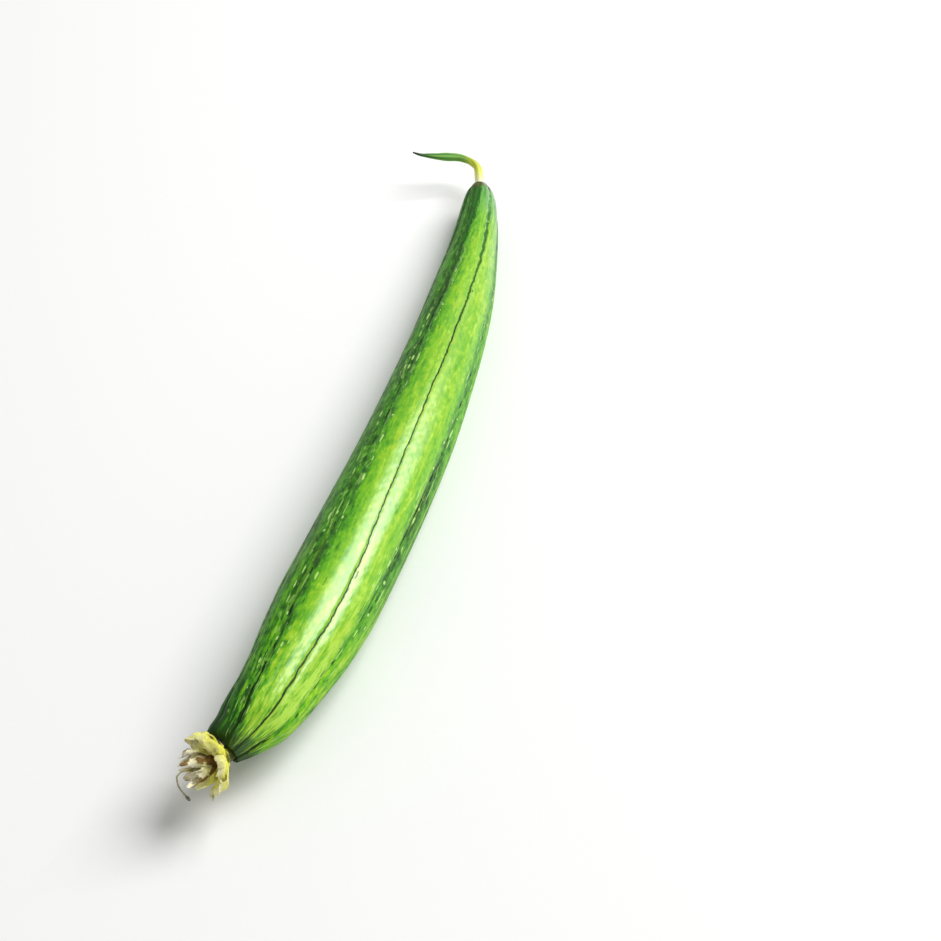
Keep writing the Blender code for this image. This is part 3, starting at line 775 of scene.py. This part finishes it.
def skin_finish(looks):
    """Waxy green skin: bands of green, painted shade and highlights, fine lengthwise streaks, dark
    lines, and dashes.
    """
    skin = Finish(
        "waxy_green_skin", Coat_Roughness=0.28, Coat_IOR=1.68, Specular_IOR_Level=0.30, IOR=1.45,
        Specular_Tint=(0.65, 1.0, 0.40, 1.0),
    )
    names = ("station", "across", "over", "around", "reach", "crest", "wax", "strength", "width")
    station, across, over, around, reach, crest, wax, strength, width = map(skin.field, names)
    along = station * FRUIT_LENGTH
    flow = skin.node("CombineXYZ", None, {0: across, 1: over, 2: along})
    broad = skin.noise(flow, (60, 60, 20))
    warm = skin.noise(flow, (170, 170, 50), (8, 3, 1), Detail=3)
    streaks = skin.noise(flow, (430, 430, 95), Detail=3, Roughness=0.6, Distortion=0.4)
    scratch = skin.noise(flow, (1150, 1150, 290), (3, 1, 4), Roughness=0.6, Distortion=0.7)
    mottle = skin.noise(flow, (380, 380, 230), (1, 6, 2), Detail=3, Roughness=0.6)
    fibres = skin.noise(flow, (800, 800, 40), (5, 2, 7), Detail=3, Roughness=0.65)
    ribbons = skin.noise(flow, (400, 400, 15), (9, 5, 2))
    isles = skin.noise(flow, (560, 560, 185), (4, 4, 9))

    # Depth of green: the field's bands and painted shade, broad patches, and grain that is stronger
    # towards the blossom
    tail = station.rise(0.80, 0.94)
    grain = (streaks - 0.5) * (1 + tail * 0.7) + (scratch - 0.5) * (0.65 + tail * 0.3)
    grain = grain + (mottle - 0.5) * (0.95 + tail)
    ends = 0.5 + station.rise(0.86, 0.97) * 0.5 + station.fall(0.05, 0.2)
    grain = grain + (fibres - 0.5) * ends
    band = reach.rise(-5.0 * MM, -0.2 * MM) * reach.fall(-0.1 * MM, 0.5 * MM)
    shade = skin.field("shade") + band * station.fall(0.12, 0.5) * skin.field("bands")
    depth = shade * 0.80 + 0.18 + (broad - 0.5) * 0.30 + grain * 0.85
    stops = (
        (0.0, looks.pale), (0.20, looks.lime), (0.42, looks.fresh), (0.62, looks.leaf),
        (0.83, looks.deep), (1.0, (0.012, 0.068, 0.006)),
    )

    # Dark line along each furrow, ragged and broken by gaps, with a painted highlight on its lips
    wobble = skin.noise(flow, (160, 160, 210), (7, 2, 5), Detail=3) - 0.5
    ragged = skin.noise(flow, (900, 900, 420), (2, 8, 6))
    gaps = skin.noise(flow, (45, 45, 150), (1, 9, 3))
    off = abs(reach + wobble * width * 3.2)
    edge = width * (0.25 + ragged * 1.4)
    kept = (gaps - (0.78 - strength * 0.60)).rise(-0.03, 0.05)
    inside = crest.rise(0.3 * MM, 0.9 * MM)
    line = off.fall(edge * 0.55, edge * 1.25) * kept * inside
    ink = skin.mix(station.rise(0.15, 0.4), (0.018, 0.120, 0.012), looks.line)
    # Painted highlight on the furrow's lips: a pale band beside the line, mostly near the stem and on
    # one side
    pale = off.rise(width * 1.2, width * 2.2) * off.fall(1.2 * MM, 2.8 * MM) * inside
    pale = pale * (0.10 + streaks.rise(0.42, 0.66) * 0.55) * (0.35 + station.fall(0.1, 0.5) * 0.65)
    pale = pale * (strength + station.fall(0.2, 0.4)).rise(0.4, 0.9)
    pale = pale * (0.3 + reach.rise(-0.3 * MM, 0.3 * MM)) * (1 - station.rise(0.80, 0.92) * 0.75)

    # Dashes: pale ones a little way from the furrow, dark ones in it, and long pale ones; the pale ones
    # get a painted shadow round them
    share = skin.field("dashes")
    light = skin.dashes(
        around, along, reach, (3.1 * MM, 8.2 * MM), (0.36 * MM, 1.5 * MM), 0.0,
        lambda away: share * (
            away.rise(0.2 * MM, 0.9 * MM) * away.fall(2.6 * MM, 6.0 * MM) * 0.85 + 0.04
        ),
    )
    dark = skin.dashes(
        around, along, reach, (1.9 * MM, 6.0 * MM), (0.40 * MM, 2.6 * MM), 3.7,
        lambda away: share * (away.fall(0.9 * MM, 2.4 * MM) * 0.9 + 0.04),
    )
    long = skin.dashes(
        around, along, reach, (3.0 * MM, 19 * MM), (0.35 * MM, 6.0 * MM), 8.2,
        lambda away: share * station.rise(0.5, 0.75) * away.fall(4.0 * MM, 7.0 * MM) * 0.8,
    )
    shown = station.rise(0.10, 0.28) * inside
    light = light + (scratch - 0.5) * 1.3 + (mottle - 0.5) * 0.8
    dark = dark + (scratch - 0.5) * 2.0
    light_dash, dark_dash = light.fall(0.6, 1.2) * shown, dark.fall(0.6, 1.2) * shown
    long_dash = long.fall(0.7, 1.2) * shown * streaks.rise(0.35, 0.5) * station.fall(0.86, 0.93)
    # Painted shadow: a dark ring round each pale dash, where the green is deeper
    rim = light.rise(0.9, 1.3) * light.fall(1.5, 2.4) * shown * depth.rise(0.30, 0.55)
    beside = abs(reach).rise(0.3 * MM, 1.0 * MM) * abs(reach).fall(2.2 * MM, 6.5 * MM) * share
    isle = (isles + beside * 0.26).rise(0.74, 0.79) * shown
    flecks = (light_dash + isle * 0.35) * (0.20 + mottle * 0.6 + depth.rise(0.2, 0.5) * 0.3)
    ribbon = ribbons.rise(0.55, 0.66) * station.rise(0.35, 0.6) * station.fall(0.88, 0.95)
    ribbon = ribbon * (around.rise(0.0, 8 * MM) * 0.8 + 0.2)

    # The two ends: a frosty cap with an olive ring, and painted shade on the left shoulder, with the
    # skin darkest at the tip
    near = station.fall(0.02, 0.13)
    frost = near * fibres.rise(0.44, 0.62) * depth.fall(0.3, 0.65)
    ring = (station + (streaks - 0.5) * 0.02).fall(0.012, 0.027)
    # Painted shade on the left shoulder of the blossom end, broken by the mottle
    painted_shoulder_shade = station.rise(0.87, 0.96) * around.fall(-22 * MM, -11 * MM)
    # Darker skin at the very tip, with a ragged edge
    darkened_tip = (station + (mottle - 0.5) * 0.035 + (fibres - 0.5) * 0.035).rise(0.974, 0.996)
    tone = skin.layers(
        skin.ramp(depth, stops),
        (warm.rise(0.52, 0.72) * depth.fall(0.2, 0.55) * 0.6, (0.42, 0.62, 0.02)),
        # Painted highlight beside the furrows' lines
        (pale, (0.50, 0.76, 0.17)),
        (dark_dash * 0.80, (0.006, 0.048, 0.005)),
        # Painted shadow round the pale dashes
        (rim * 0.60, looks.deep),
        (ribbon * 0.45, looks.pale),
        (long_dash * 0.60, looks.fleck),
        (flecks, looks.fleck),
        (line * 0.95, ink),
        (near * depth.fall(0.35, 0.75) * 0.80, (0.090, 0.35, 0.090)),
        (frost * 0.55, (0.32, 0.60, 0.28)),
        (ring * 0.95, (0.060, 0.064, 0.004)),
        # Painted shade on the left shoulder
        (painted_shoulder_shade * (0.95 - mottle * 0.75), (0.020, 0.078, 0.018)),
        (darkened_tip * 0.95, (0.012, 0.040, 0.007)),
    )

    height = streaks * 0.25 + mottle * 0.35 + scratch * 0.25 + light_dash * 0.25
    height = height + long_dash * 0.2 + isle * 0.3
    skin.bump(height - line * 0.8 - dark_dash * 0.25, looks.relief)
    rough = 0.52 - wax * 0.24 + (mottle - 0.5) * 0.25 + line * 0.25
    coat = wax * (1 - line * 0.85) * (1 - dark_dash * 0.5) * looks.gloss
    return skin.paint(Base_Color=tone, Roughness=rough, Coat_Weight=coat)


# Stem


def grow_stem(looks):
    """The stalk: five-ridged ovals carried along its path, with fibres and a frayed tip."""
    share = np.linspace(0, 1, STEM_RINGS)
    path = smooth_path(STEM_PATH, share)
    near_end = fruit_axis(np.array([0.0, 0.001]))
    away = unit(near_end[0] - near_end[1])
    sideways = unit(np.cross(away, UP))
    centre = near_end[0] + path[:, :3] @ np.stack([sideways, away, np.cross(sideways, away)]) * MM
    tangent, side, up = frames_along(centre)
    roll = np.radians(path[:, 5])[:, None]
    wide = np.cos(roll) * up + np.sin(roll) * side
    thin = np.cross(tangent, wide)
    angle = turns(STEM_SIDES)
    s = share[:, None]
    turned = angle + STEM_TWIST * s
    ridge = 1 + STEM_RIDGE_SHARE * np.cos(STEM_RIDGES * turned)
    fibres = 0.012 * np.sin(23 * turned + 5 * np.sin(9 * s)) + 0.010 * np.sin(14 * turned - 31 * s)
    bend = bell((s - 0.47) / 0.07)
    folds = 0.020 * bend * np.sin(190 * s) * np.clip(np.cos(angle + 2.2), 0, 1)
    frayed = 0.10 * smooth_step(0.72, 1.0, s) * np.sin(7 * turned + 40 * s)
    foot = 0.10 * bell((s - 0.05) / 0.03)
    uneven = ridge + fibres + folds + frayed + foot - 0.04
    across = (path[:, 3, None] / 2 * MM) * np.cos(angle) * uneven
    through = (path[:, 4, None] / 2 * MM) * np.sin(angle) * uneven
    rings = centre[:, None] + across[..., None] * wide[:, None] + through[..., None] * thin[:, None]
    points, faces = closed_tube(rings)
    thickness, length = STEM_FLOW
    flow = thickness * np.cos(turned), thickness * np.sin(turned), length * s + 0 * turned
    fields = {
        "share": by_ring(share, STEM_SIDES),
        "ridge": with_ends(np.cos(STEM_RIDGES * turned)),
        "flow": with_ends(np.stack(flow, axis=-1)),
    }
    return mesh_piece("gourd_stalk", points, faces, fields, stem_finish(looks))


def stem_finish(looks):
    """Pale root, yellow bend, green stalk with painted highlights on its ridges and painted shade in
    its grooves, and a grey-green dried tip.
    """
    stalk = Finish("ridged_stalk", Specular_IOR_Level=0.35)
    share, ridge = stalk.field("share"), stalk.field("ridge")
    flow = stalk.field("flow", vector=True)
    streaks = stalk.noise(flow, (900, 900, 60), Detail=4, Roughness=0.65)
    patches = stalk.noise(flow, (240, 240, 130), Detail=3)
    stops = (
        (0.12, looks.root), (0.22, (0.82, 0.85, 0.28)), (0.32, looks.bend), (0.50, (0.50, 0.60, 0.05)),
        (0.60, (0.20, 0.43, 0.05)), (0.72, looks.stalk), (0.84, (0.07, 0.23, 0.03)),
        (0.92, (0.035, 0.095, 0.035)), (0.98, looks.tip),
    )
    # Painted highlight: the ridge crests lighter along the middle of the stalk
    painted_ridge_highlight = ridge.rise(0.1, 0.9) * share.rise(0.55, 0.7) * share.fall(0.8, 0.92)
    tone = stalk.layers(
        stalk.ramp(share + (patches - 0.5) * 0.14 + (streaks - 0.5) * 0.08, stops),
        (painted_ridge_highlight * 0.75, (0.28, 0.56, 0.12)),
        # Partly painted shade in the grooves between the ridges, partly the dried colour, in streaks
        # that grow towards the tip
        (ridge.fall(-1.0, 0.0) * (0.15 + share * 0.75) * streaks, looks.tip),
        (streaks.rise(0.50, 0.62) * share.fall(0.2, 0.5) * 0.35, (0.62, 0.60, 0.12)),
    )
    stalk.bump(streaks * 0.6 + patches * 0.4, 0.3 * MM)
    return stalk.paint(Base_Color=tone, Roughness=0.42 + share * 0.3 + (streaks - 0.5) * 0.2)


# Blossom


def blossom_axis():
    """Direction of the blossom, from its heading in plan and its rise, in degrees."""
    heading, rise = math.radians(BLOSSOM_HEADING), math.radians(BLOSSOM_RISE)
    level = math.cos(rise)
    return np.array([-math.sin(heading) * level, -math.cos(heading) * level, math.sin(rise)])


def neck_curve(share):
    """Quadratic curve from inside the fruit's blossom end to the rim of the calyx cup."""
    tip, behind = fruit_axis(np.array([1.0, 0.99]))
    along = unit(tip - behind)
    start, corner = tip - along * SOCKET_REACH, tip + along * NECK_REACH
    end = corner + blossom_axis() * CUP_REACH
    t = np.asarray(share, float)[:, None]
    return (1 - t) ** 2 * start + 2 * t * (1 - t) * corner + t * t * end


def blossom_point(along, out, angle):
    """Points given by their distance along the blossom's axis, out from it, and angle round it."""
    axis, side, up = frames_of(blossom_axis())
    spokes = spokes_at(out, angle, up, side)
    return neck_curve([1.0])[0] + along[..., None] * axis + spokes


def blade_grid(angle, kind, draws, size, ruffle, fine):
    """A crumpled blade, as a grid of points with rows from root to edge, and its fold heights.

    Seen from the side it leaves the axis at the first turn angle and bends to the second, more or
    less by its own curl. Its half-width is the sine of pi times the row to a power. Its columns
    differ in length. A wave across makes pleats and a slanting wave makes crumples, as in the
    solid. Ruffles along the edge and finer creases are added: sines of the row and the column
    whose phases come from fine.
    """
    row = np.linspace(0, 1, size[0])[:, None]
    column = np.linspace(-1, 1, size[1])[None, :]
    first, last = kind["turn"]
    lean = np.radians(first + (last - first) * row ** 1.2 + draws[0] * kind["curl"] * row)
    reach = 1 + kind["ragged"] * (np.sin(EDGE_WAVES * column + draws[1]) - column ** 2)
    tears = 0.045 * np.sin(17 * column + fine[0]) + 0.035 * np.sin(29 * column + fine[1])
    reach = reach + (kind["ragged"] > 0) * tears * row ** 2
    step = BLADE_TRIM * kind["length"] * reach / (size[0] - 1)
    out = kind["root"] + np.cumsum(np.sin(lean) * step, axis=0) - np.sin(lean[0]) * step
    along = kind["lift"] + np.cumsum(np.cos(lean) * step, axis=0) - np.cos(lean[0]) * step
    low, high = WIDTH_SPAN
    outline = np.sin(math.pi * (low + (high - low) * row) ** 0.75) ** kind["point"]
    across = column * kind["width"] / 2 * outline / np.maximum(out, 1.5 * LEAST_OUT)
    pleat = kind["pleat"] * row ** 0.8 * np.sin(math.pi * kind["pleats"] * column + draws[2])
    slanting = np.cos(CRUMPLE_ACROSS * column + CRUMPLE_SLANT * row + draws[2])
    crumple = kind["crumple"] * row * np.sin(CRUMPLE_ALONG * row + draws[1]) * slanting
    edge = np.maximum(np.abs(column) ** 3, row ** 3)
    waves = np.sin(13 * row + fine[2] + 9 * column) * np.sin(8 * column + fine[3] - 6 * row)
    creases = 1 - 2 * np.abs(np.sin(9 * row + 5 * column + 2 * np.sin(6 * column + fine[4])))
    creases = creases * (1 - 2 * np.abs(np.sin(7 * column - 4 * row + fine[5])))
    folds = ruffle * (edge * waves + 0.45 * row ** 0.5 * creases)
    lift = pleat + crumple + folds
    along = along + lift * np.sin(lean)
    out = np.maximum(out - lift * np.cos(lean), LEAST_OUT)
    grid = blossom_point(along, out, angle + across + BLADE_TWIST * draws[3] * row)
    depth = lift / (kind["pleat"] + kind["crumple"] + ruffle)
    return grid, np.broadcast_to(row, out.shape), np.broadcast_to(column, out.shape), depth


def all_blades():
    """Angle, kind and draws of each sepal and petal, drawn in the same order as in the solid."""
    rng = np.random.default_rng(BLOSSOM_SEED)
    sets = []
    for kind, turn in ((SEPAL, 0.5), (OUTER_PETAL, 0.0), (INNER_PETAL, 0.5)):
        for k in range(WHORL):
            angle = math.tau * (k + turn) / WHORL + rng.uniform(-0.12, 0.12)
            shorter = {**kind, "length": kind["length"] * rng.uniform(0.88, 1.0)}
            draws = rng.uniform((-1.0, 0.0, 0.0, -1.0), (1.0, 6.3, 6.3, 1.0))
            sets.append((angle, shorter, draws))
    return sets


def joined(parts):
    """One list of points and of faces from several parts."""
    points, faces, count = [], [], 0
    for more, blocks in parts:
        points.append(more)
        faces += [block + count for block in blocks]
        count += len(more)
    return np.concatenate(points), faces


def grow_calyx(looks):
    """The cup, turned along the bent neck with five soft ribs, and its five sepals."""
    outer = np.linspace(0, 1, CUP_RINGS[0])
    inner = np.linspace(1, CUP_INNER[-1][0], CUP_RINGS[1])
    share = np.concatenate([outer, inner])
    outside = through_points(*zip(*CUP_OUTER), outer)
    inside = through_points(*zip(*CUP_INNER[::-1]), inner)
    radius = np.concatenate([outside, inside]) * MM
    centre = neck_curve(share)
    _, side, up = frames_of(unit(neck_curve(share + 0.01) - neck_curve(share - 0.01)))
    angle = turns(CUP_SIDES)
    ribs = 0.03 * np.cos(10 * angle) + 0.012 * np.sin(33 * angle)
    ribs = ribs * smooth_step(0.2, 0.7, share)[:, None]
    rings = centre[:, None] + spokes_at(radius[:, None] * (1 + ribs), angle, up, side)
    rng = np.random.default_rng(SEPAL_SEED)
    grids = []
    for angle_of, kind, draws in all_blades()[:WHORL]:
        fine = rng.uniform(0, math.tau, 6)
        grids.append(blade_grid(angle_of, kind, draws, SEPAL_GRID, SEPAL_RUFFLE, fine))
    sheets = [thick_sheet(grid, np.full(grid.shape[:2], SEPAL_THICKNESS)) for grid, *_ in grids]
    points, faces = joined([closed_tube(rings[:, ::-1]), *sheets])
    row = [by_ring(0.4 * share - 0.4, CUP_SIDES)]
    for _, steps, *_ in grids:
        row += [steps.ravel(), steps.ravel()]
    fields = {"row": np.concatenate(row)}
    return mesh_piece("calyx_cup", points, faces, fields, calyx_finish(looks))


def calyx_finish(looks):
    """Soft yellow, greener at the foot of the cup, dried brown at the sepals' points."""
    cup = Finish("calyx_yellow", Specular_IOR_Level=0.3)
    row = cup.field("row")
    place = cup.node("TexCoord", output=3)
    patches = cup.noise(place, (260, 260, 260), Detail=4)
    grain = cup.noise(place, (1400, 1400, 1400), Detail=3)
    stops = (
        (0.0, (0.030, 0.040, 0.006)), (0.22, (0.10, 0.12, 0.010)), (0.36, (0.50, 0.52, 0.04)),
        (0.50, looks.yellow), (0.80, (0.62, 0.60, 0.14)), (1.0, (0.16, 0.15, 0.05)),
    )
    tone = cup.ramp(0.40 + row * 0.9 + (patches - 0.5) * 0.6 + (grain - 0.5) * 0.3, stops)
    cup.bump(grain * 0.5 + patches * 0.5, 0.5 * MM)
    return cup.paint(Base_Color=tone, Roughness=0.6 + (grain - 0.5) * 0.2)


def grow_petals(looks):
    """The corolla's tube with ten withered petals, five spread and five upright, as ruffled sheets."""
    rng = np.random.default_rng(PETAL_SEED)
    grids = []
    for k, (angle, kind, draws) in enumerate(all_blades()[WHORL:]):
        fine = rng.uniform(0, math.tau, 6)
        grid, row, column, depth = blade_grid(angle, kind, draws, PETAL_GRID, PETAL_RUFFLE, fine)
        grids.append((grid, row, column, depth, float(k >= WHORL), rng.uniform(0, 1)))
    outline = np.array(TUBE_OUTLINE) * MM
    angle = turns(TUBE_SIDES) + np.zeros((len(outline), 1))
    along = outline[:, :1] + 0 * angle
    tube = blossom_point(along, outline[:, 1:] * (1 + 0.03 * np.cos(5 * angle)), angle)
    sheets = [thick_sheet(grid, looks.thickness * (1.5 - row)) for grid, row, *_ in grids]
    points, faces = joined([closed_ring(tube), *sheets])

    def whole(values):
        blades = [np.tile((v + np.zeros_like(g[1])).ravel(), 2) for v, g in zip(values, grids)]
        return np.concatenate([np.zeros(tube.shape[0] * tube.shape[1]), *blades])

    names = ("row", "column", "fold", "inner", "tint")
    fields = {name: whole([g[k + 1] for g in grids]) for k, name in enumerate(names)}
    return mesh_piece("withered_petals", points, faces, fields, petal_finish(looks))


def petal_finish(looks):
    """Papery tissue: yellow, cream and blush further out; withered brown with painted shade in the
    folds and at the inner petals' roots.
    """
    tissue = Finish(
        "withered_tissue", Specular_IOR_Level=0.25, Subsurface_Weight=0.60, Subsurface_Scale=0.003,
        Subsurface_Radius=(1.0, 0.90, 0.60), Sheen_Weight=0.04,
    )
    row, column, fold, inner, tint = map(tissue.field, ("row", "column", "fold", "inner", "tint"))
    place = tissue.node("TexCoord", output=3)
    flow = tissue.node("CombineXYZ", None, {0: column, 1: row, 2: tint})
    patches = tissue.noise(place, (190, 190, 190), Detail=4, Roughness=0.6)
    grain = tissue.noise(place, (1100, 1100, 1100), Detail=4, Roughness=0.65)
    veins = tissue.noise(flow, (9.0, 1.4, 40.0), Detail=3, Roughness=0.6)
    strokes = tissue.noise(
        flow, (12.0, 3.5, 25.0), (0, 0, 3), Detail=3, Roughness=0.7, Distortion=0.6,
    )
    stops = (
        (0.0, looks.yellow), (0.40, looks.yellow), (0.56, (0.88, 0.84, 0.25)), (0.74, looks.cream),
        (0.92, looks.blush),
    )
    ripe = row * 0.50 + (patches - 0.5) * 0.8 + tint * 0.18 + inner * 0.34
    # Withered brown and painted shade: darker down in the folds and towards the roots of the inner
    # petals
    brown_and_fold_shade = (patches - 0.5) * 1.6 - fold + inner * (0.80 - row * 0.80)
    spots = (patches + grain * 0.35 + row * 0.10 + inner * 0.06).rise(0.82, 0.92)
    tone = tissue.layers(
        tissue.ramp(ripe, stops),
        (veins.rise(0.52, 0.70) * (0.25 + inner * 0.2), (0.74, 0.58, 0.12)),
        (brown_and_fold_shade.rise(0.40, 0.58) * (0.40 + inner * 0.58), looks.brown),
        (strokes.rise(0.60, 0.68) * (0.55 - row * 0.3), (0.17, 0.090, 0.014)),
        (spots * 0.70, (0.085, 0.048, 0.010)),
    )
    tissue.bump(veins * 0.7 + grain * 0.5, 0.4 * MM)
    return tissue.paint(Base_Color=tone, Roughness=0.78 + (grain - 0.5) * 0.2)


def grow_style(looks):
    """The dried thread: a thin tube along its path, which swells to a knob near its end."""
    share = np.linspace(0, 1, STYLE_RINGS)
    path = smooth_path(STYLE_PATH, share) * MM
    centre = neck_curve([1.0])[0] + path[:, :1] * blossom_axis()
    centre = centre + path[:, 1:] * UP
    _, side, up = frames_along(centre, reference=STYLE_UP)
    knob = bell((share - 0.95) / 0.035)
    angle = turns(STYLE_SIDES)
    wrinkle = 0.10 * np.sin(3 * angle + 30 * share[:, None]) + 0.06 * np.sin(90 * share[:, None])
    radius = (STYLE_RADIUS + KNOB_RADIUS * knob)[:, None] * (1 + wrinkle)
    points, faces = closed_tube(centre[:, None] + spokes_at(radius, angle, up, side))
    fields = {"share": by_ring(share, STYLE_SIDES)}
    return mesh_piece("dried_style", points, faces, fields, style_finish(looks))


def style_finish(looks):
    """Straw-coloured thread that dries to dark olive."""
    straw = Finish("dried_thread", Specular_IOR_Level=0.3)
    share = straw.field("share")
    grain = straw.noise(straw.node("TexCoord", output=3), (900, 900, 900), Detail=4)
    stops = (
        (0.0, looks.cream), (0.55, (0.36, 0.32, 0.14)), (0.85, (0.30, 0.29, 0.17)),
        (1.0, (0.10, 0.10, 0.07)),
    )
    straw.bump(grain, 0.3 * MM)
    tone = straw.ramp(share + (grain - 0.5) * 0.35, stops)
    return straw.paint(Base_Color=tone, Roughness=0.8 + (grain - 0.5) * 0.2)


# Stage


def area_light(name, place, aim, size, power):
    """A rectangular light at the place that faces the aim, with its long side along Y."""
    lamp = bpy.data.lights.new(name, "AREA")
    lamp.shape = "RECTANGLE"
    lamp.size, lamp.size_y = size
    lamp.energy = power
    light = add_object(name, lamp)
    back = (Vector(place) - Vector(aim)).normalized()
    right = Vector((0, 1, 0)).cross(back).normalized()
    turn = Matrix((right, back.cross(right), back)).transposed().to_4x4()
    light.matrix_world = Matrix.Translation(place) @ turn


def lay_floor(tint):
    """A flat disc: rings of points at growing radii, just under the flat spot."""
    radius, angle = np.array(FLOOR_RADII)[:, None], turns(FLOOR_SIDES)
    level = np.full((len(radius), FLOOR_SIDES), -FLOOR_DROP)
    rings = np.stack([radius * np.cos(angle), radius * np.sin(angle), level], axis=-1)
    points = np.concatenate([rings.reshape(-1, 3), [[0, 0, -FLOOR_DROP]]])
    c = np.arange(FLOOR_SIDES)
    fan = np.stack([np.full(FLOOR_SIDES, len(points) - 1), c, (c + 1) % FLOOR_SIDES], axis=1)
    disc = grid_faces(len(radius), FLOOR_SIDES, around=True)[:, ::-1]
    paper = Finish("pale_floor", Specular_IOR_Level=0.2)
    grain = paper.noise(paper.node("TexCoord", output=3), (400, 400, 400))
    tone = paper.mix(grain, tuple(0.985 * v for v in tint), tint)
    material = paper.paint(Base_Color=tone, Roughness=0.75 + grain * 0.05)
    return mesh_piece("floor", points, [disc, fan], {}, material)


def place_camera():
    """The camera: level to the sides, turned by its azimuth and tipped down by its elevation."""
    lens = bpy.data.cameras.new("photo_camera")
    lens.lens = CAMERA_LENS
    lens.sensor_width = CAMERA_SENSOR
    lens.sensor_fit = "HORIZONTAL"
    lens.clip_start = 0.01
    camera = add_object("photo_camera", lens)
    camera.location = CAMERA_PLACE
    tip = math.radians(90 - CAMERA_ELEVATION)
    camera.rotation_euler = (tip, 0.0, math.radians(CAMERA_AZIMUTH))
    bpy.context.scene.camera = camera


def light_room(looks):
    """A pale room: an even fill, and a large light behind that draws the highlight on the skin."""
    scene = bpy.context.scene
    world = bpy.data.worlds.new("pale_room")
    world.use_nodes = True
    ground = world.node_tree.nodes["Background"]
    ground.inputs["Color"].default_value = (1.0, 1.0, 1.0, 1.0)
    ground.inputs["Strength"].default_value = looks.sky
    scene.world = world
    area_light("softbox", SOFTBOX_PLACE, SOFTBOX_AIM, SOFTBOX_SIZE, looks.key)
    scene.view_settings.view_transform = "Standard"
    scene.view_settings.look = "None"


# Operators, panel and registration


class GOURD_OT_fruit(bpy.types.Operator):
    """Grow the fruit's skin"""

    bl_idname = "gourd.fruit"
    bl_label = "Fruit"

    def execute(self, context):
        skin = grow_fruit(context.scene.gourd_fruit)
        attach(skin, "root")
        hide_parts("fruit")
        return {"FINISHED"}


class GOURD_OT_stem(bpy.types.Operator):
    """Grow the hooked stem"""

    bl_idname = "gourd.stem"
    bl_label = "Stem"

    def execute(self, context):
        stem = grow_stem(context.scene.gourd_stem)
        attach(stem, "root")
        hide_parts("stem")
        return {"FINISHED"}


class GOURD_OT_blossom(bpy.types.Operator):
    """Grow the calyx, the withered petals and the dried style"""

    bl_idname = "gourd.blossom"
    bl_label = "Blossom"

    def execute(self, context):
        looks = context.scene.gourd_blossom
        calyx, petals, style = grow_calyx(looks), grow_petals(looks), grow_style(looks)
        for piece, node in ((calyx, "calyx"), (petals, "petals"), (style, "style")):
            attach(piece, "root")
            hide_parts(node)
        return {"FINISHED"}


class GOURD_OT_stage(bpy.types.Operator):
    """Lay the floor, place the camera and light the room"""

    bl_idname = "gourd.stage"
    bl_label = "Stage"

    def execute(self, context):
        looks = context.scene.gourd_stage
        lay_floor(tuple(looks.floor))
        place_camera()
        light_room(looks)
        return {"FINISHED"}


class GOURD_PT_panel(bpy.types.Panel):
    """Lists the pieces and their looks"""

    bl_label = "Sponge Gourd"
    bl_idname = "GOURD_PT_panel"
    bl_space_type = "VIEW_3D"
    bl_region_type = "UI"
    bl_category = "Gourd"

    def draw(self, context):
        for name, operator in STEPS:
            looks = getattr(context.scene, name)
            box = self.layout.box()
            box.operator(operator)
            for field in looks.bl_rna.properties.keys()[2:]:
                box.prop(looks, field)


STEPS = (
    ("gourd_fruit", "gourd.fruit"),
    ("gourd_stem", "gourd.stem"),
    ("gourd_blossom", "gourd.blossom"),
    ("gourd_stage", "gourd.stage"),
)
GROUPS = (FruitLooks, StemLooks, BlossomLooks, StageLooks)
CLASSES = (*GROUPS, GOURD_OT_fruit, GOURD_OT_stem, GOURD_OT_blossom, GOURD_OT_stage, GOURD_PT_panel)


def register():
    for each in CLASSES:
        bpy.utils.register_class(each)
    for (name, _), group in zip(STEPS, GROUPS):
        setattr(bpy.types.Scene, name, bpy.props.PointerProperty(type=group))


def unregister():
    for name, _ in STEPS:
        delattr(bpy.types.Scene, name)
    for each in reversed(CLASSES):
        bpy.utils.unregister_class(each)


def main():
    register()
    bpy.ops.gourd.fruit()
    bpy.ops.gourd.stem()
    bpy.ops.gourd.blossom()
    bpy.ops.gourd.stage()


if __name__ == "__main__":
    main()
